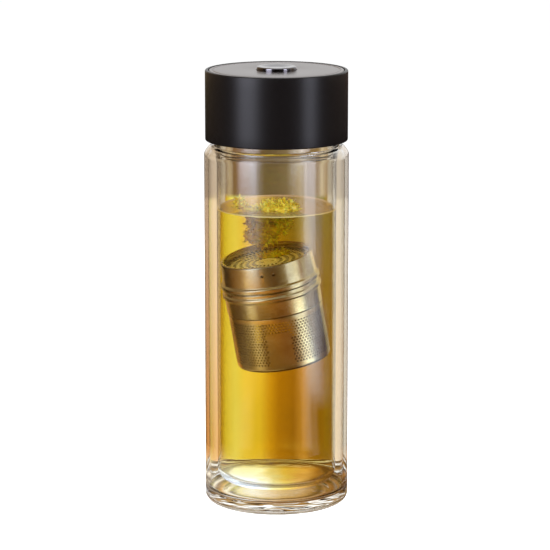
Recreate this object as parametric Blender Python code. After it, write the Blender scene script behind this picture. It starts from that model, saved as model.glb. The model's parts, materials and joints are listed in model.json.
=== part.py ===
"""Double-wall glass tumbler with a screw cap, a push button and a loose steel tea infuser.

Metres, +Z up, origin at the middle of the face that the tumbler stands on. The infuser has been
dropped from the cap by the button and leans from wall to wall, half way down the glass.
"""

import math

import bmesh
import bpy
from mathutils import Matrix, Vector

MM = 0.001

# Mesh fineness and the hairline left between pieces that touch
LARGE_SEGMENTS = 32
SMALL_SEGMENTS = 24
HIDDEN_SEGMENTS = 16
CORNER_STEPS = 2
SEAT_GAP = 0.3 * MM

# Share of an edge that the rounding at one of its ends may take
SHARE_BOTH_ENDS_ROUND = 0.48
SHARE_ONE_END_ROUND = 0.96

# Glass: the inner blank holds the tea, and the outer blank is fused to its neck
BORE_RADIUS = 26.2 * MM
INNER_WALL = 1.2 * MM
AIR_GAP = 3.8 * MM
OUTER_WALL = 1.8 * MM
OUTER_BASE = 5.2 * MM
BASE_GAP = 4.4 * MM
FLOOR_THICKNESS = 2.2 * MM
FLOOR_ROUND = 4.5 * MM
HEEL_ROUND = 2.8 * MM
BASE_DISH_RADIUS = 23.0 * MM
BASE_DISH_DEPTH = 0.5 * MM
SHOULDER_HEIGHT = 166.2 * MM
SHOULDER_ROUND = 3.6 * MM

# Neck and its moulded thread
NECK_WALL = 1.9 * MM
NECK_HEIGHT = 18.3 * MM
NECK_LEAD = 5.0 * MM
NECK_THREAD_DEPTH = 1.0 * MM
NECK_THREAD_WIDTH = 1.6 * MM
NECK_THREAD_TURNS = 1.25
INSERT_THREAD_TURNS = 1.0
NECK_THREAD_LEAD_IN = 0.3 * MM
THREAD_PLAY = 0.4 * MM
THREAD_ROOT_BITE = 0.5 * MM

# Cap: drawn shell over a moulded threaded insert
SKIRT_GAP = 2.3 * MM
HEADROOM = 9.1 * MM
SHELL_WALL = 1.2 * MM
SHELL_TOP = 2.0 * MM
SHELL_TOP_ROUND = 1.3 * MM
SHELL_SKIRT_ROUND = 0.9 * MM
PLATE_THICKNESS = 0.7 * MM
PLATE_INSET = 0.15 * MM
PLATE_RIM = 1.7 * MM
INSERT_WALL = 1.5 * MM
INSERT_RECESS = 0.8 * MM
WEB_THICKNESS = 2.3 * MM
SEAL_THICKNESS = 2.1 * MM
SEAL_LIP = 0.9 * MM

# Push button, plunger and return spring
BUTTON_RADIUS = 9.0 * MM
BUTTON_PROUD = 1.4 * MM
BUTTON_TRAVEL = 3.0 * MM
BUTTON_OVERTRAVEL = 1.3 * MM
BUTTON_WALL = 1.3 * MM
BUTTON_CROWN = 2.0 * MM
BUTTON_DISH = 0.6 * MM
GUIDE_WALL = 1.5 * MM
ROD_RADIUS = 3.0 * MM
SOCKET_WALL = 1.5 * MM
SOCKET_DEPTH = 4.0 * MM
SPRING_WIRE = 0.9 * MM
SPRING_TURNS = 5
SPRING_STEPS = 10
CLIP_THICKNESS = 0.7 * MM
CLIP_WIDTH = 2.3 * MM
CLIP_GROOVE = 0.6 * MM

# Magnet housing that hangs in the neck
HOUSING_CLEARANCE = 2.2 * MM
HOUSING_WALL = 1.6 * MM
HOUSING_FLOOR = 1.4 * MM
HOUSING_DEPTH = 17.9 * MM
PLATE_RIM_STEP = 0.5 * MM
CONTACT_PLATE_THICKNESS = 0.8 * MM
MAGNET_OUTER_RADIUS = 15.0 * MM
MAGNET_THICKNESS = 5.0 * MM
GLAND_WALL = 1.2 * MM
GLAND_FLOOR = 1.6 * MM
GLAND_FLANGE_WIDTH = 1.6 * MM
GLAND_FLANGE_THICKNESS = 0.5 * MM
O_RING_CORD = 1.6 * MM
BUSH_LENGTH = 2.0 * MM
BUSH_FLANGE = 0.9 * MM
SCREW_COUNT = 3
SCREW_RADIUS = 1.2 * MM
SCREW_LENGTH = 9.0 * MM
SCREW_HEAD_RADIUS = 2.3 * MM
SCREW_HEAD_HEIGHT = 1.6 * MM
SCREW_BOSS_WALL = 1.5 * MM
SCREW_DEPTH_TO_SPARE = 1.0 * MM

# Infuser, measured along its own axis from its base
INFUSER_CLEARANCE = 5.0 * MM
SHEET = 0.5 * MM
CUP_HEIGHT = 25.7 * MM
CUP_CORNER = 1.6 * MM
CUP_TONGUE = 4.0 * MM
COLLAR_BAND = 7.0 * MM
BEAD_HEIGHT = 2.8 * MM
BEAD_PROUD = 0.8 * MM
COLLAR_LEDGE = 1.6 * MM
INFUSER_NECK = 8.4 * MM
LID_BAND_TAPER = 0.7 * MM
LID_RIM_RISE = 3.4 * MM
LID_RIM_WIDTH = 1.5 * MM
LID_RIM_ROUND = 0.7 * MM
INFUSER_LEAD = 3.0 * MM
INFUSER_THREAD_DEPTH = 0.5 * MM
INFUSER_THREAD_WIDTH = 1.2 * MM
INFUSER_THREAD_TURNS = 1.0
INFUSER_THREAD_PLAY = 0.4 * MM
INFUSER_THREAD_BITE = 0.2 * MM
HOLE_RADIUS = 1.4 * MM
HOLE_SPACING = 9.2 * MM
HOLE_SIDES = 6
ROW_PITCH = math.sin(math.radians(60.0))
SCREEN_THICKNESS = 0.6 * MM
GRIP_HOLE_RADIUS = 1.0 * MM
GRIP_HOLE_SPREAD = 5.4 * MM
VENT_RADIUS = 0.45 * MM
VENT_SPREAD = 5.2 * MM
VENT_BELOW_RIM = 4.2 * MM

# Where the dropped infuser lies: it leans until two of its edges are this far from the glass
LID_TO_GLASS = 0.95 * MM
CUP_TO_GLASS = 1.8 * MM
LEAN_HEADING = math.radians(207.0)
INFUSER_CENTRE_ABOVE_FLOOR = 79.2 * MM

# Radii that follow from the driving sizes
INNER_RADIUS = BORE_RADIUS + INNER_WALL
GLASS_RADIUS = INNER_RADIUS + AIR_GAP + OUTER_WALL
NECK_RADIUS = BORE_RADIUS + NECK_WALL
NECK_CREST = NECK_RADIUS + NECK_THREAD_DEPTH
INSERT_INNER = NECK_CREST + THREAD_PLAY
INSERT_OUTER = INSERT_INNER + INSERT_WALL
SHELL_INNER = INSERT_OUTER + SEAT_GAP
CAP_RADIUS = SHELL_INNER + SHELL_WALL
HOUSING_RADIUS = BORE_RADIUS - HOUSING_CLEARANCE
ROD_BORE = ROD_RADIUS + SEAT_GAP

# Heights that follow from the driving sizes
FLOOR_UNDERSIDE = OUTER_BASE + BASE_GAP
FLOOR_HEIGHT = FLOOR_UNDERSIDE + FLOOR_THICKNESS
MOUTH_HEIGHT = SHOULDER_HEIGHT + NECK_HEIGHT
SEAL_BOTTOM = MOUTH_HEIGHT + SEAT_GAP
SEAL_TOP = SEAL_BOTTOM + SEAL_THICKNESS
WEB_BOTTOM = SEAL_TOP + SEAT_GAP
WEB_TOP = WEB_BOTTOM + WEB_THICKNESS
SKIRT_BOTTOM = SHOULDER_HEIGHT + SKIRT_GAP
INSERT_BOTTOM = SKIRT_BOTTOM + INSERT_RECESS
INSERT_THREAD_START = INSERT_BOTTOM + NECK_THREAD_LEAD_IN + NECK_THREAD_WIDTH / 2
NECK_THREAD_START = INSERT_THREAD_START + NECK_THREAD_WIDTH + SEAT_GAP
SHELL_CEILING = WEB_TOP + HEADROOM
CAP_TOP = SHELL_CEILING + SHELL_TOP
BUTTON_TOP = CAP_TOP + BUTTON_PROUD
BUTTON_BOTTOM = WEB_TOP + SEAT_GAP + BUTTON_TRAVEL + BUTTON_OVERTRAVEL
BUTTON_CEILING = BUTTON_TOP - BUTTON_CROWN
HOUSING_TOP = WEB_BOTTOM - SEAT_GAP
HOUSING_BOTTOM = HOUSING_TOP - HOUSING_DEPTH
HOUSING_FLOOR_TOP = HOUSING_BOTTOM + HOUSING_FLOOR
CONTACT_PLATE_TOP = HOUSING_BOTTOM - SEAT_GAP
CONTACT_PLATE_BOTTOM = CONTACT_PLATE_TOP - CONTACT_PLATE_THICKNESS

# Infuser stations along its axis, and radii
CUP_RADIUS = BORE_RADIUS - INFUSER_CLEARANCE
COLLAR_RADIUS = CUP_RADIUS + SHEET / 2
COLLAR_BOTTOM = CUP_HEIGHT + SEAT_GAP
COLLAR_BEAD_BOTTOM = COLLAR_BOTTOM + COLLAR_BAND
COLLAR_BEAD_TOP = COLLAR_BEAD_BOTTOM + BEAD_HEIGHT
COLLAR_LEDGE_TOP = COLLAR_BEAD_TOP + COLLAR_LEDGE
COLLAR_TOP = COLLAR_LEDGE_TOP + INFUSER_NECK
SCREEN_BOTTOM = COLLAR_TOP + SEAT_GAP
SCREEN_TOP = SCREEN_BOTTOM + SCREEN_THICKNESS
LID_BOTTOM = COLLAR_LEDGE_TOP + SEAT_GAP
LID_BEAD_TOP = LID_BOTTOM + BEAD_HEIGHT
LID_FLANGE_BOTTOM = SCREEN_TOP + SEAT_GAP
INFUSER_HEIGHT = SCREEN_TOP + LID_RIM_RISE
LID_THREAD_START = LID_BEAD_TOP
COLLAR_THREAD_START = LID_THREAD_START + INFUSER_LEAD / 2
LID_BAND_RADIUS = COLLAR_RADIUS - SHEET / 2
LID_TOP_RADIUS = LID_BAND_RADIUS - LID_BAND_TAPER
LID_INNER_RADIUS = LID_TOP_RADIUS - SHEET
INFUSER_NECK_RADIUS = LID_INNER_RADIUS - INFUSER_THREAD_PLAY - INFUSER_THREAD_DEPTH
LID_RIM_INNER = LID_TOP_RADIUS - LID_RIM_WIDTH
SCREEN_RADIUS = LID_INNER_RADIUS - SEAT_GAP


def clear_scene():
    """Remove every object, so that the script can be run again."""
    for item in list(bpy.data.objects):
        bpy.data.objects.remove(item)


def finish_of(name, colour, roughness, metallic=0.0, transmission=0.0):
    """Return a Principled material; colour is linear red, green and blue."""
    material = bpy.data.materials.new(name)
    material.use_nodes = True
    shader = material.node_tree.nodes["Principled BSDF"]
    shader.inputs["Base Color"].default_value = (*colour, 1.0)
    shader.inputs["Roughness"].default_value = roughness
    shader.inputs["Metallic"].default_value = metallic
    shader.inputs["Transmission Weight"].default_value = transmission
    return material


def place(name, shape, material, parent=None):
    """Turn a bmesh into a smooth-shaded object with a material, and return the object."""
    bmesh.ops.recalc_face_normals(shape, faces=shape.faces)
    mesh = bpy.data.meshes.new(name)
    shape.to_mesh(mesh)
    shape.free()
    mesh.shade_smooth()
    mesh.set_sharp_from_angle(angle=math.radians(35.0))
    if material:
        mesh.materials.append(material)
    item = bpy.data.objects.new(name, mesh)
    bpy.context.scene.collection.objects.link(item)
    item.parent = parent
    return item


def rounded_outline(corners):
    """Return the points of a closed outline, given corners of (radius, height, rounding)."""
    points = []
    count = len(corners)
    for index, (radius, height, rounding) in enumerate(corners):
        here = Vector((radius, height))
        last = corners[index - 1]
        following = corners[(index + 1) % count]
        back = Vector(last[:2]) - here
        ahead = Vector(following[:2]) - here
        if rounding <= 0.0:
            points.append(here)
            continue
        half_angle = back.angle(ahead) / 2
        back_room = back.length * (SHARE_BOTH_ENDS_ROUND if last[2] > 0 else SHARE_ONE_END_ROUND)
        ahead_room = ahead.length * (SHARE_BOTH_ENDS_ROUND if following[2] > 0 else SHARE_ONE_END_ROUND)
        reach = min(rounding / math.tan(half_angle), back_room, ahead_room)
        arc_radius = reach * math.tan(half_angle)
        inward = (back.normalized() + ahead.normalized()).normalized()
        centre = here + inward * arc_radius / math.sin(half_angle)
        start = here + back.normalized() * reach - centre
        end = here + ahead.normalized() * reach - centre
        first = math.atan2(start.y, start.x)
        sweep = math.atan2(start.x * end.y - start.y * end.x, start.dot(end))
        for step in range(CORNER_STEPS + 1):
            angle = first + sweep * step / CORNER_STEPS
            points.append(centre + arc_radius * Vector((math.cos(angle), math.sin(angle))))
    return points


def turned(name, corners, material, segments=LARGE_SEGMENTS, parent=None):
    """Spin a closed outline of rounded corners round Z into one closed solid."""
    shape = bmesh.new()
    ring = []
    for point in rounded_outline(corners):
        ring.append(shape.verts.new((point.x, 0.0, point.y)))
    edges = []
    for start, end in zip(ring, ring[1:] + ring[:1]):
        if start.co.x > 0.0 or end.co.x > 0.0:
            edges.append(shape.edges.new((start, end)))
    bmesh.ops.spin(
        shape, geom=ring + edges, cent=(0, 0, 0), axis=(0, 0, 1), angle=math.tau,
        steps=segments, use_merge=True,
    )
    bmesh.ops.remove_doubles(shape, verts=shape.verts, dist=0.0001 * MM)
    return place(name, shape, material, parent)


def prisms(name, placements, radius, length, sides, parent=None):
    """Build one cutter of straight round prisms, each centred and turned by a matrix."""
    shape = bmesh.new()
    for placement in placements:
        bmesh.ops.create_cone(
            shape, cap_ends=True, segments=sides, radius1=radius, radius2=radius,
            depth=length, matrix=placement,
        )
    return place(name, shape, None, parent)


def thread_ridge(name, wall, crest, start, lead, turns, width, bite, parent=None):
    """Sweep a tapered ridge along a right-hand helix; its root is sunk past the wall by bite."""
    shape = bmesh.new()
    outward = 1.0 if crest > wall else -1.0
    root = wall - outward * bite
    steps = round(turns * LARGE_SEGMENTS)
    run_in = LARGE_SEGMENTS / 8
    rings = []
    for step in range(steps + 1):
        angle = math.tau * step / LARGE_SEGMENTS
        height = start + lead * step / LARGE_SEGMENTS
        rise = min(1.0, step / run_in, (steps - step) / run_in)
        top = wall - outward * bite / 2 + (crest - wall + outward * bite / 2) * rise
        section = ((root, -0.5), (top, -0.25), (top, 0.25), (root, 0.5))
        ring = []
        for radius, across in section:
            point = (radius * math.cos(angle), radius * math.sin(angle), height + across * width)
            ring.append(shape.verts.new(point))
        rings.append(ring)
    for low, high in zip(rings, rings[1:]):
        for side in range(4):
            after = (side + 1) % 4
            shape.faces.new((low[side], low[after], high[after], high[side]))
    shape.faces.new(rings[0])
    shape.faces.new(rings[-1])
    return place(name, shape, None, parent)


def combine(target, tool, operation):
    """Join the tool to the target, or cut it out, and keep the tool as a hidden guide."""
    modifier = target.modifiers.new(tool.name, "BOOLEAN")
    modifier.operation = operation
    modifier.solver = "EXACT"
    modifier.object = tool
    tool.hide_render = True
    tool.display_type = "WIRE"


def around(count, radius, height, phase=0.0):
    """Return upright placements evenly spaced on a circle."""
    placements = []
    for index in range(count):
        turn = Matrix.Rotation(phase + math.tau * index / count, 4, "Z")
        placements.append(turn @ Matrix.Translation((radius, 0.0, height)))
    return placements


def sideways(placement):
    """Turn an upright placement so that its axis points along its own radius."""
    return placement @ Matrix.Rotation(math.pi / 2, 4, "Y")


def build_glass(clear):
    """Outer blank, and inner blank with the threaded neck that it is fused to."""
    outer_inside = GLASS_RADIUS - OUTER_WALL
    turned("outer_glass", (
        (0.0, BASE_DISH_DEPTH, 0.0),
        (BASE_DISH_RADIUS, BASE_DISH_DEPTH, 0.0),
        (BASE_DISH_RADIUS + 2 * BASE_DISH_DEPTH, 0.0, 0.0),
        (GLASS_RADIUS, 0.0, HEEL_ROUND),
        (GLASS_RADIUS, SHOULDER_HEIGHT, SHOULDER_ROUND),
        (NECK_RADIUS + SEAT_GAP, SHOULDER_HEIGHT, 0.0),
        (NECK_RADIUS + SEAT_GAP, SHOULDER_HEIGHT - OUTER_WALL, 0.0),
        (outer_inside, SHOULDER_HEIGHT - OUTER_WALL, SHOULDER_ROUND - OUTER_WALL / 2),
        (outer_inside, OUTER_BASE, HEEL_ROUND),
        (0.0, OUTER_BASE, 0.0),
    ), clear)
    neck_foot = SHOULDER_HEIGHT - OUTER_WALL
    inner = turned("inner_glass", (
        (0.0, FLOOR_UNDERSIDE, 0.0),
        (INNER_RADIUS, FLOOR_UNDERSIDE, FLOOR_ROUND + INNER_WALL),
        (INNER_RADIUS, neck_foot - NECK_WALL, 0.0),
        (NECK_RADIUS, neck_foot, 0.0),
        (NECK_RADIUS, MOUTH_HEIGHT, NECK_WALL / 3),
        (BORE_RADIUS, MOUTH_HEIGHT, NECK_WALL / 3),
        (BORE_RADIUS, FLOOR_HEIGHT, FLOOR_ROUND),
        (0.0, FLOOR_HEIGHT, 0.0),
    ), clear)
    ridge = thread_ridge(
        "neck_thread", NECK_RADIUS, NECK_CREST, NECK_THREAD_START, NECK_LEAD,
        NECK_THREAD_TURNS, NECK_THREAD_WIDTH, THREAD_ROOT_BITE,
    )
    combine(inner, ridge, "UNION")


def screw_circle_radius():
    """The bosses stand against the inside of the housing wall, and overlap it a little."""
    boss = SCREW_RADIUS + SEAT_GAP + SCREW_BOSS_WALL
    return HOUSING_RADIUS - HOUSING_WALL / 2 - boss


def build_cap_shell(anodised, top_finish):
    """Drawn shell with a recessed top, and the plate that fills the recess."""
    hole = BUTTON_RADIUS + SEAT_GAP
    plate_radius = CAP_RADIUS - PLATE_RIM
    recess_floor = CAP_TOP - PLATE_INSET - PLATE_THICKNESS - SEAT_GAP
    turned("cap_shell", (
        (hole, SHELL_CEILING, 0.0),
        (SHELL_INNER, SHELL_CEILING, SHELL_WALL / 2),
        (SHELL_INNER, SKIRT_BOTTOM, 0.0),
        (CAP_RADIUS, SKIRT_BOTTOM, SHELL_SKIRT_ROUND),
        (CAP_RADIUS, CAP_TOP, SHELL_TOP_ROUND),
        (plate_radius + SEAT_GAP, CAP_TOP, 0.0),
        (plate_radius + SEAT_GAP, recess_floor, 0.0),
        (hole, recess_floor, 0.0),
    ), anodised)
    turned("top_plate", (
        (hole, recess_floor + SEAT_GAP, 0.0),
        (plate_radius, recess_floor + SEAT_GAP, 0.0),
        (plate_radius, CAP_TOP - PLATE_INSET, 0.0),
        (hole, CAP_TOP - PLATE_INSET, 0.0),
    ), top_finish)


def clip_top():
    """Height of the clip's upper face, just under the boss on the web."""
    return WEB_BOTTOM - WEB_THICKNESS / 2 - SEAT_GAP


def build_threaded_insert(plastic, silicone):
    """Moulded insert that screws on to the glass, with its rod boss, and the sealing ring."""
    boss_radius = ROD_BORE + SOCKET_WALL
    insert = turned("thread_insert", (
        (ROD_BORE, clip_top() + SEAT_GAP, 0.0),
        (boss_radius, clip_top() + SEAT_GAP, 0.0),
        (boss_radius, WEB_BOTTOM, 0.0),
        (INSERT_INNER, WEB_BOTTOM, 0.0),
        (INSERT_INNER, INSERT_BOTTOM, 0.0),
        (INSERT_OUTER, INSERT_BOTTOM, 0.0),
        (INSERT_OUTER, SHELL_CEILING - SEAT_GAP, 0.0),
        (INSERT_INNER, SHELL_CEILING - SEAT_GAP, 0.0),
        (INSERT_INNER, WEB_TOP, INSERT_WALL / 2),
        (ROD_BORE, WEB_TOP, 0.0),
    ), plastic)
    ridge = thread_ridge(
        "insert_thread", INSERT_INNER, NECK_RADIUS + THREAD_PLAY, INSERT_THREAD_START,
        NECK_LEAD, INSERT_THREAD_TURNS, NECK_THREAD_WIDTH, THREAD_ROOT_BITE,
    )
    combine(insert, ridge, "UNION")
    holes = prisms(
        "insert_screw_holes",
        around(SCREW_COUNT, screw_circle_radius(), WEB_BOTTOM + WEB_THICKNESS / 2),
        SCREW_RADIUS + SEAT_GAP, 2 * WEB_THICKNESS, HIDDEN_SEGMENTS,
    )
    combine(insert, holes, "DIFFERENCE")
    turned("seal_ring", (
        (BORE_RADIUS - SEAL_LIP, SEAL_BOTTOM, SEAL_THICKNESS / 4),
        (INSERT_INNER - SEAT_GAP, SEAL_BOTTOM, SEAL_THICKNESS / 4),
        (INSERT_INNER - SEAT_GAP, SEAL_TOP, SEAL_THICKNESS / 4),
        (BORE_RADIUS - SEAL_LIP, SEAL_TOP, SEAL_THICKNESS / 4),
    ), silicone)


def build_button(chrome, plastic, steel):
    """Chromed button in its guide, on a rod that a clip holds from below."""
    guide_inner = BUTTON_RADIUS + SEAT_GAP
    turned("button_guide", (
        (guide_inner, WEB_TOP + SEAT_GAP, 0.0),
        (guide_inner + GUIDE_WALL, WEB_TOP + SEAT_GAP, 0.0),
        (guide_inner + GUIDE_WALL, SHELL_CEILING - SEAT_GAP, 0.0),
        (guide_inner, SHELL_CEILING - SEAT_GAP, 0.0),
    ), plastic, SMALL_SEGMENTS)
    hollow = BUTTON_RADIUS - BUTTON_WALL
    socket_outer = ROD_BORE + SOCKET_WALL
    turned("push_button", (
        (0.0, BUTTON_CEILING, 0.0),
        (ROD_BORE, BUTTON_CEILING, 0.0),
        (ROD_BORE, BUTTON_CEILING - SOCKET_DEPTH, 0.0),
        (socket_outer, BUTTON_CEILING - SOCKET_DEPTH, 0.0),
        (socket_outer, BUTTON_CEILING, 0.0),
        (hollow, BUTTON_CEILING, 0.0),
        (hollow, BUTTON_BOTTOM, 0.0),
        (BUTTON_RADIUS, BUTTON_BOTTOM, 0.0),
        (BUTTON_RADIUS, BUTTON_TOP, BUTTON_WALL / 2),
        (hollow, BUTTON_TOP, BUTTON_WALL),
        (BUTTON_RADIUS / 3, BUTTON_TOP - BUTTON_DISH, 0.0),
        (0.0, BUTTON_TOP - BUTTON_DISH, 0.0),
    ), chrome, SMALL_SEGMENTS)
    groove_top = clip_top() + SEAT_GAP
    groove_bottom = clip_top() - CLIP_THICKNESS - SEAT_GAP
    rod_tip = CONTACT_PLATE_BOTTOM + SEAT_GAP
    turned("plunger_rod", (
        (0.0, rod_tip, 0.0),
        (ROD_RADIUS, rod_tip, ROD_RADIUS / 3),
        (ROD_RADIUS, groove_bottom, 0.0),
        (ROD_RADIUS - CLIP_GROOVE, groove_bottom, 0.0),
        (ROD_RADIUS - CLIP_GROOVE, groove_top, 0.0),
        (ROD_RADIUS, groove_top, 0.0),
        (ROD_RADIUS, BUTTON_CEILING - SEAT_GAP, 0.0),
        (0.0, BUTTON_CEILING - SEAT_GAP, 0.0),
    ), steel, HIDDEN_SEGMENTS)
    clip_inner = ROD_RADIUS - CLIP_GROOVE + SEAT_GAP
    clip = turned("retaining_clip", (
        (clip_inner, clip_top() - CLIP_THICKNESS, 0.0),
        (clip_inner + CLIP_WIDTH, clip_top() - CLIP_THICKNESS, 0.0),
        (clip_inner + CLIP_WIDTH, clip_top(), 0.0),
        (clip_inner, clip_top(), 0.0),
    ), steel, HIDDEN_SEGMENTS)
    mouth = bmesh.new()
    bmesh.ops.create_cube(mouth, size=1.0)
    size = (2 * (clip_inner + CLIP_WIDTH), 1.6 * clip_inner, 4 * CLIP_THICKNESS)
    bmesh.ops.scale(mouth, vec=size, verts=mouth.verts)
    bmesh.ops.translate(
        mouth, vec=(clip_inner + CLIP_WIDTH, 0.0, clip_top() - CLIP_THICKNESS / 2), verts=mouth.verts,
    )
    combine(clip, place("clip_mouth", mouth, None), "DIFFERENCE")


def build_return_spring(steel):
    """Compression spring between the web and the inside of the button, as one round wire."""
    wire = SPRING_WIRE / 2
    inner_limit = ROD_BORE + SOCKET_WALL
    outer_limit = BUTTON_RADIUS - BUTTON_WALL
    coil_radius = (inner_limit + outer_limit) / 2
    low = WEB_TOP + SEAT_GAP + wire
    high = BUTTON_CEILING - SEAT_GAP - wire
    curve = bpy.data.curves.new("return_spring", "CURVE")
    curve.dimensions = "3D"
    curve.bevel_depth = wire
    curve.bevel_resolution = 1
    curve.use_fill_caps = True
    line = curve.splines.new("POLY")
    count = SPRING_TURNS * SPRING_STEPS
    line.points.add(count)
    for index in range(count + 1):
        angle = math.tau * index / SPRING_STEPS
        height = low + (high - low) * index / count
        point = (coil_radius * math.cos(angle), coil_radius * math.sin(angle), height, 1.0)
        line.points[index].co = point
    curve.materials.append(steel)
    spring = bpy.data.objects.new("return_spring", curve)
    bpy.context.scene.collection.objects.link(spring)
    print(f"least gap between spring turns {1000 * ((high - low) / SPRING_TURNS - SPRING_WIRE):.2f} mm")


def build_magnet_housing(plastic, nickel, silicone, guide_plastic, stainless):
    """Housing under the web with its magnet, the gland round the rod, and the contact plate."""
    gland_bore = ROD_BORE + O_RING_CORD + SEAT_GAP
    gland_radius = gland_bore + GLAND_WALL
    gland_flange = gland_radius + GLAND_FLANGE_WIDTH
    rebate_top = HOUSING_BOTTOM + GLAND_FLANGE_THICKNESS + SEAT_GAP
    gland_seat = HOUSING_FLOOR_TOP + GLAND_FLOOR
    o_ring_height = gland_seat + SEAT_GAP + O_RING_CORD / 2
    bush_bottom = o_ring_height + O_RING_CORD / 2 + SEAT_GAP
    gland_top = bush_bottom + BUSH_LENGTH
    inside = HOUSING_RADIUS - HOUSING_WALL
    housing = turned("magnet_housing", (
        (gland_flange + SEAT_GAP, HOUSING_BOTTOM, 0.0),
        (HOUSING_RADIUS, HOUSING_BOTTOM, HOUSING_WALL / 2),
        (HOUSING_RADIUS, HOUSING_TOP, 0.0),
        (inside, HOUSING_TOP, 0.0),
        (inside, HOUSING_FLOOR_TOP, 0.0),
        (gland_radius + SEAT_GAP, HOUSING_FLOOR_TOP, 0.0),
        (gland_radius + SEAT_GAP, rebate_top, 0.0),
        (gland_flange + SEAT_GAP, rebate_top, 0.0),
    ), plastic)
    turned("rod_gland", (
        (ROD_BORE, HOUSING_BOTTOM, 0.0),
        (gland_flange, HOUSING_BOTTOM, 0.0),
        (gland_flange, HOUSING_BOTTOM + GLAND_FLANGE_THICKNESS, 0.0),
        (gland_radius, HOUSING_BOTTOM + GLAND_FLANGE_THICKNESS, 0.0),
        (gland_radius, gland_top, 0.0),
        (gland_bore, gland_top, 0.0),
        (gland_bore, gland_seat, 0.0),
        (ROD_BORE, gland_seat, 0.0),
    ), plastic, HIDDEN_SEGMENTS)
    boss_height = HOUSING_TOP - HOUSING_FLOOR_TOP + HOUSING_FLOOR / 2
    boss_centre = HOUSING_TOP - boss_height / 2
    circle = screw_circle_radius()
    bosses = prisms(
        "housing_bosses", around(SCREW_COUNT, circle, boss_centre),
        SCREW_RADIUS + SEAT_GAP + SCREW_BOSS_WALL, boss_height, HIDDEN_SEGMENTS,
    )
    combine(housing, bosses, "UNION")
    tapped = 2 * (SCREW_LENGTH - WEB_THICKNESS + SCREW_DEPTH_TO_SPARE)
    pilots = prisms(
        "housing_pilots", around(SCREW_COUNT, circle, HOUSING_TOP),
        SCREW_RADIUS + SEAT_GAP, tapped, HIDDEN_SEGMENTS,
    )
    combine(housing, pilots, "DIFFERENCE")
    turned("ring_magnet", (
        (gland_radius + SEAT_GAP, HOUSING_FLOOR_TOP + SEAT_GAP, 0.0),
        (MAGNET_OUTER_RADIUS, HOUSING_FLOOR_TOP + SEAT_GAP, 0.0),
        (MAGNET_OUTER_RADIUS, HOUSING_FLOOR_TOP + SEAT_GAP + MAGNET_THICKNESS, 0.0),
        (gland_radius + SEAT_GAP, HOUSING_FLOOR_TOP + SEAT_GAP + MAGNET_THICKNESS, 0.0),
    ), nickel, SMALL_SEGMENTS)
    ring = bmesh.new()
    bmesh.ops.create_circle(
        ring, cap_ends=False, segments=8, radius=O_RING_CORD / 2,
        matrix=Matrix.Translation((ROD_BORE + O_RING_CORD / 2, 0.0, o_ring_height))
        @ Matrix.Rotation(math.pi / 2, 4, "X"),
    )
    bmesh.ops.spin(
        ring, geom=ring.verts[:] + ring.edges[:], cent=(0, 0, 0), axis=(0, 0, 1), angle=math.tau,
        steps=HIDDEN_SEGMENTS, use_merge=True,
    )
    bmesh.ops.remove_doubles(ring, verts=ring.verts, dist=0.0001 * MM)
    place("rod_o_ring", ring, silicone)
    bush_outer = gland_bore - SEAT_GAP
    turned("gland_bush", (
        (ROD_BORE, bush_bottom, 0.0),
        (bush_outer, bush_bottom, 0.0),
        (bush_outer, gland_top + SEAT_GAP, 0.0),
        (gland_radius, gland_top + SEAT_GAP, 0.0),
        (gland_radius, gland_top + SEAT_GAP + BUSH_FLANGE, 0.0),
        (ROD_BORE, gland_top + SEAT_GAP + BUSH_FLANGE, 0.0),
    ), guide_plastic, HIDDEN_SEGMENTS)
    turned("contact_plate", (
        (ROD_BORE, CONTACT_PLATE_BOTTOM, 0.0),
        (HOUSING_RADIUS - PLATE_RIM_STEP, CONTACT_PLATE_BOTTOM, CONTACT_PLATE_THICKNESS / 3),
        (HOUSING_RADIUS - PLATE_RIM_STEP, CONTACT_PLATE_TOP, 0.0),
        (ROD_BORE, CONTACT_PLATE_TOP, 0.0),
    ), stainless)


def build_housing_screws(steel):
    """Pan-head screws that pull the housing up against the web."""
    head_bottom = WEB_TOP + SEAT_GAP
    head_top = head_bottom + SCREW_HEAD_HEIGHT
    for index, placement in enumerate(around(SCREW_COUNT, screw_circle_radius(), 0.0)):
        screw = turned(f"housing_screw_{index + 1}", (
            (0.0, head_bottom - SCREW_LENGTH, 0.0),
            (SCREW_RADIUS / 2, head_bottom - SCREW_LENGTH, 0.0),
            (SCREW_RADIUS, head_bottom - SCREW_LENGTH + SCREW_RADIUS, 0.0),
            (SCREW_RADIUS, head_bottom, 0.0),
            (SCREW_HEAD_RADIUS, head_bottom, 0.0),
            (SCREW_HEAD_RADIUS, head_top, SCREW_HEAD_HEIGHT / 2),
            (0.0, head_top, 0.0),
        ), steel, HIDDEN_SEGMENTS)
        drive = bmesh.new()
        for turn in (0.0, math.pi / 2):
            blade = bmesh.ops.create_cube(drive, size=1.0, matrix=Matrix.Rotation(turn, 4, "Z"))
            wide = (SCREW_HEAD_RADIUS, SCREW_RADIUS / 3, SCREW_HEAD_HEIGHT)
            if turn:
                wide = (wide[1], wide[0], wide[2])
            bmesh.ops.scale(drive, vec=wide, verts=blade["verts"])
        bmesh.ops.translate(drive, vec=(0.0, 0.0, head_top), verts=drive.verts)
        slot = place(f"screw_drive_{index + 1}", drive, None, screw)
        combine(screw, slot, "DIFFERENCE")
        screw.modifiers[0].use_self = True
        screw.location = placement.translation


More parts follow.
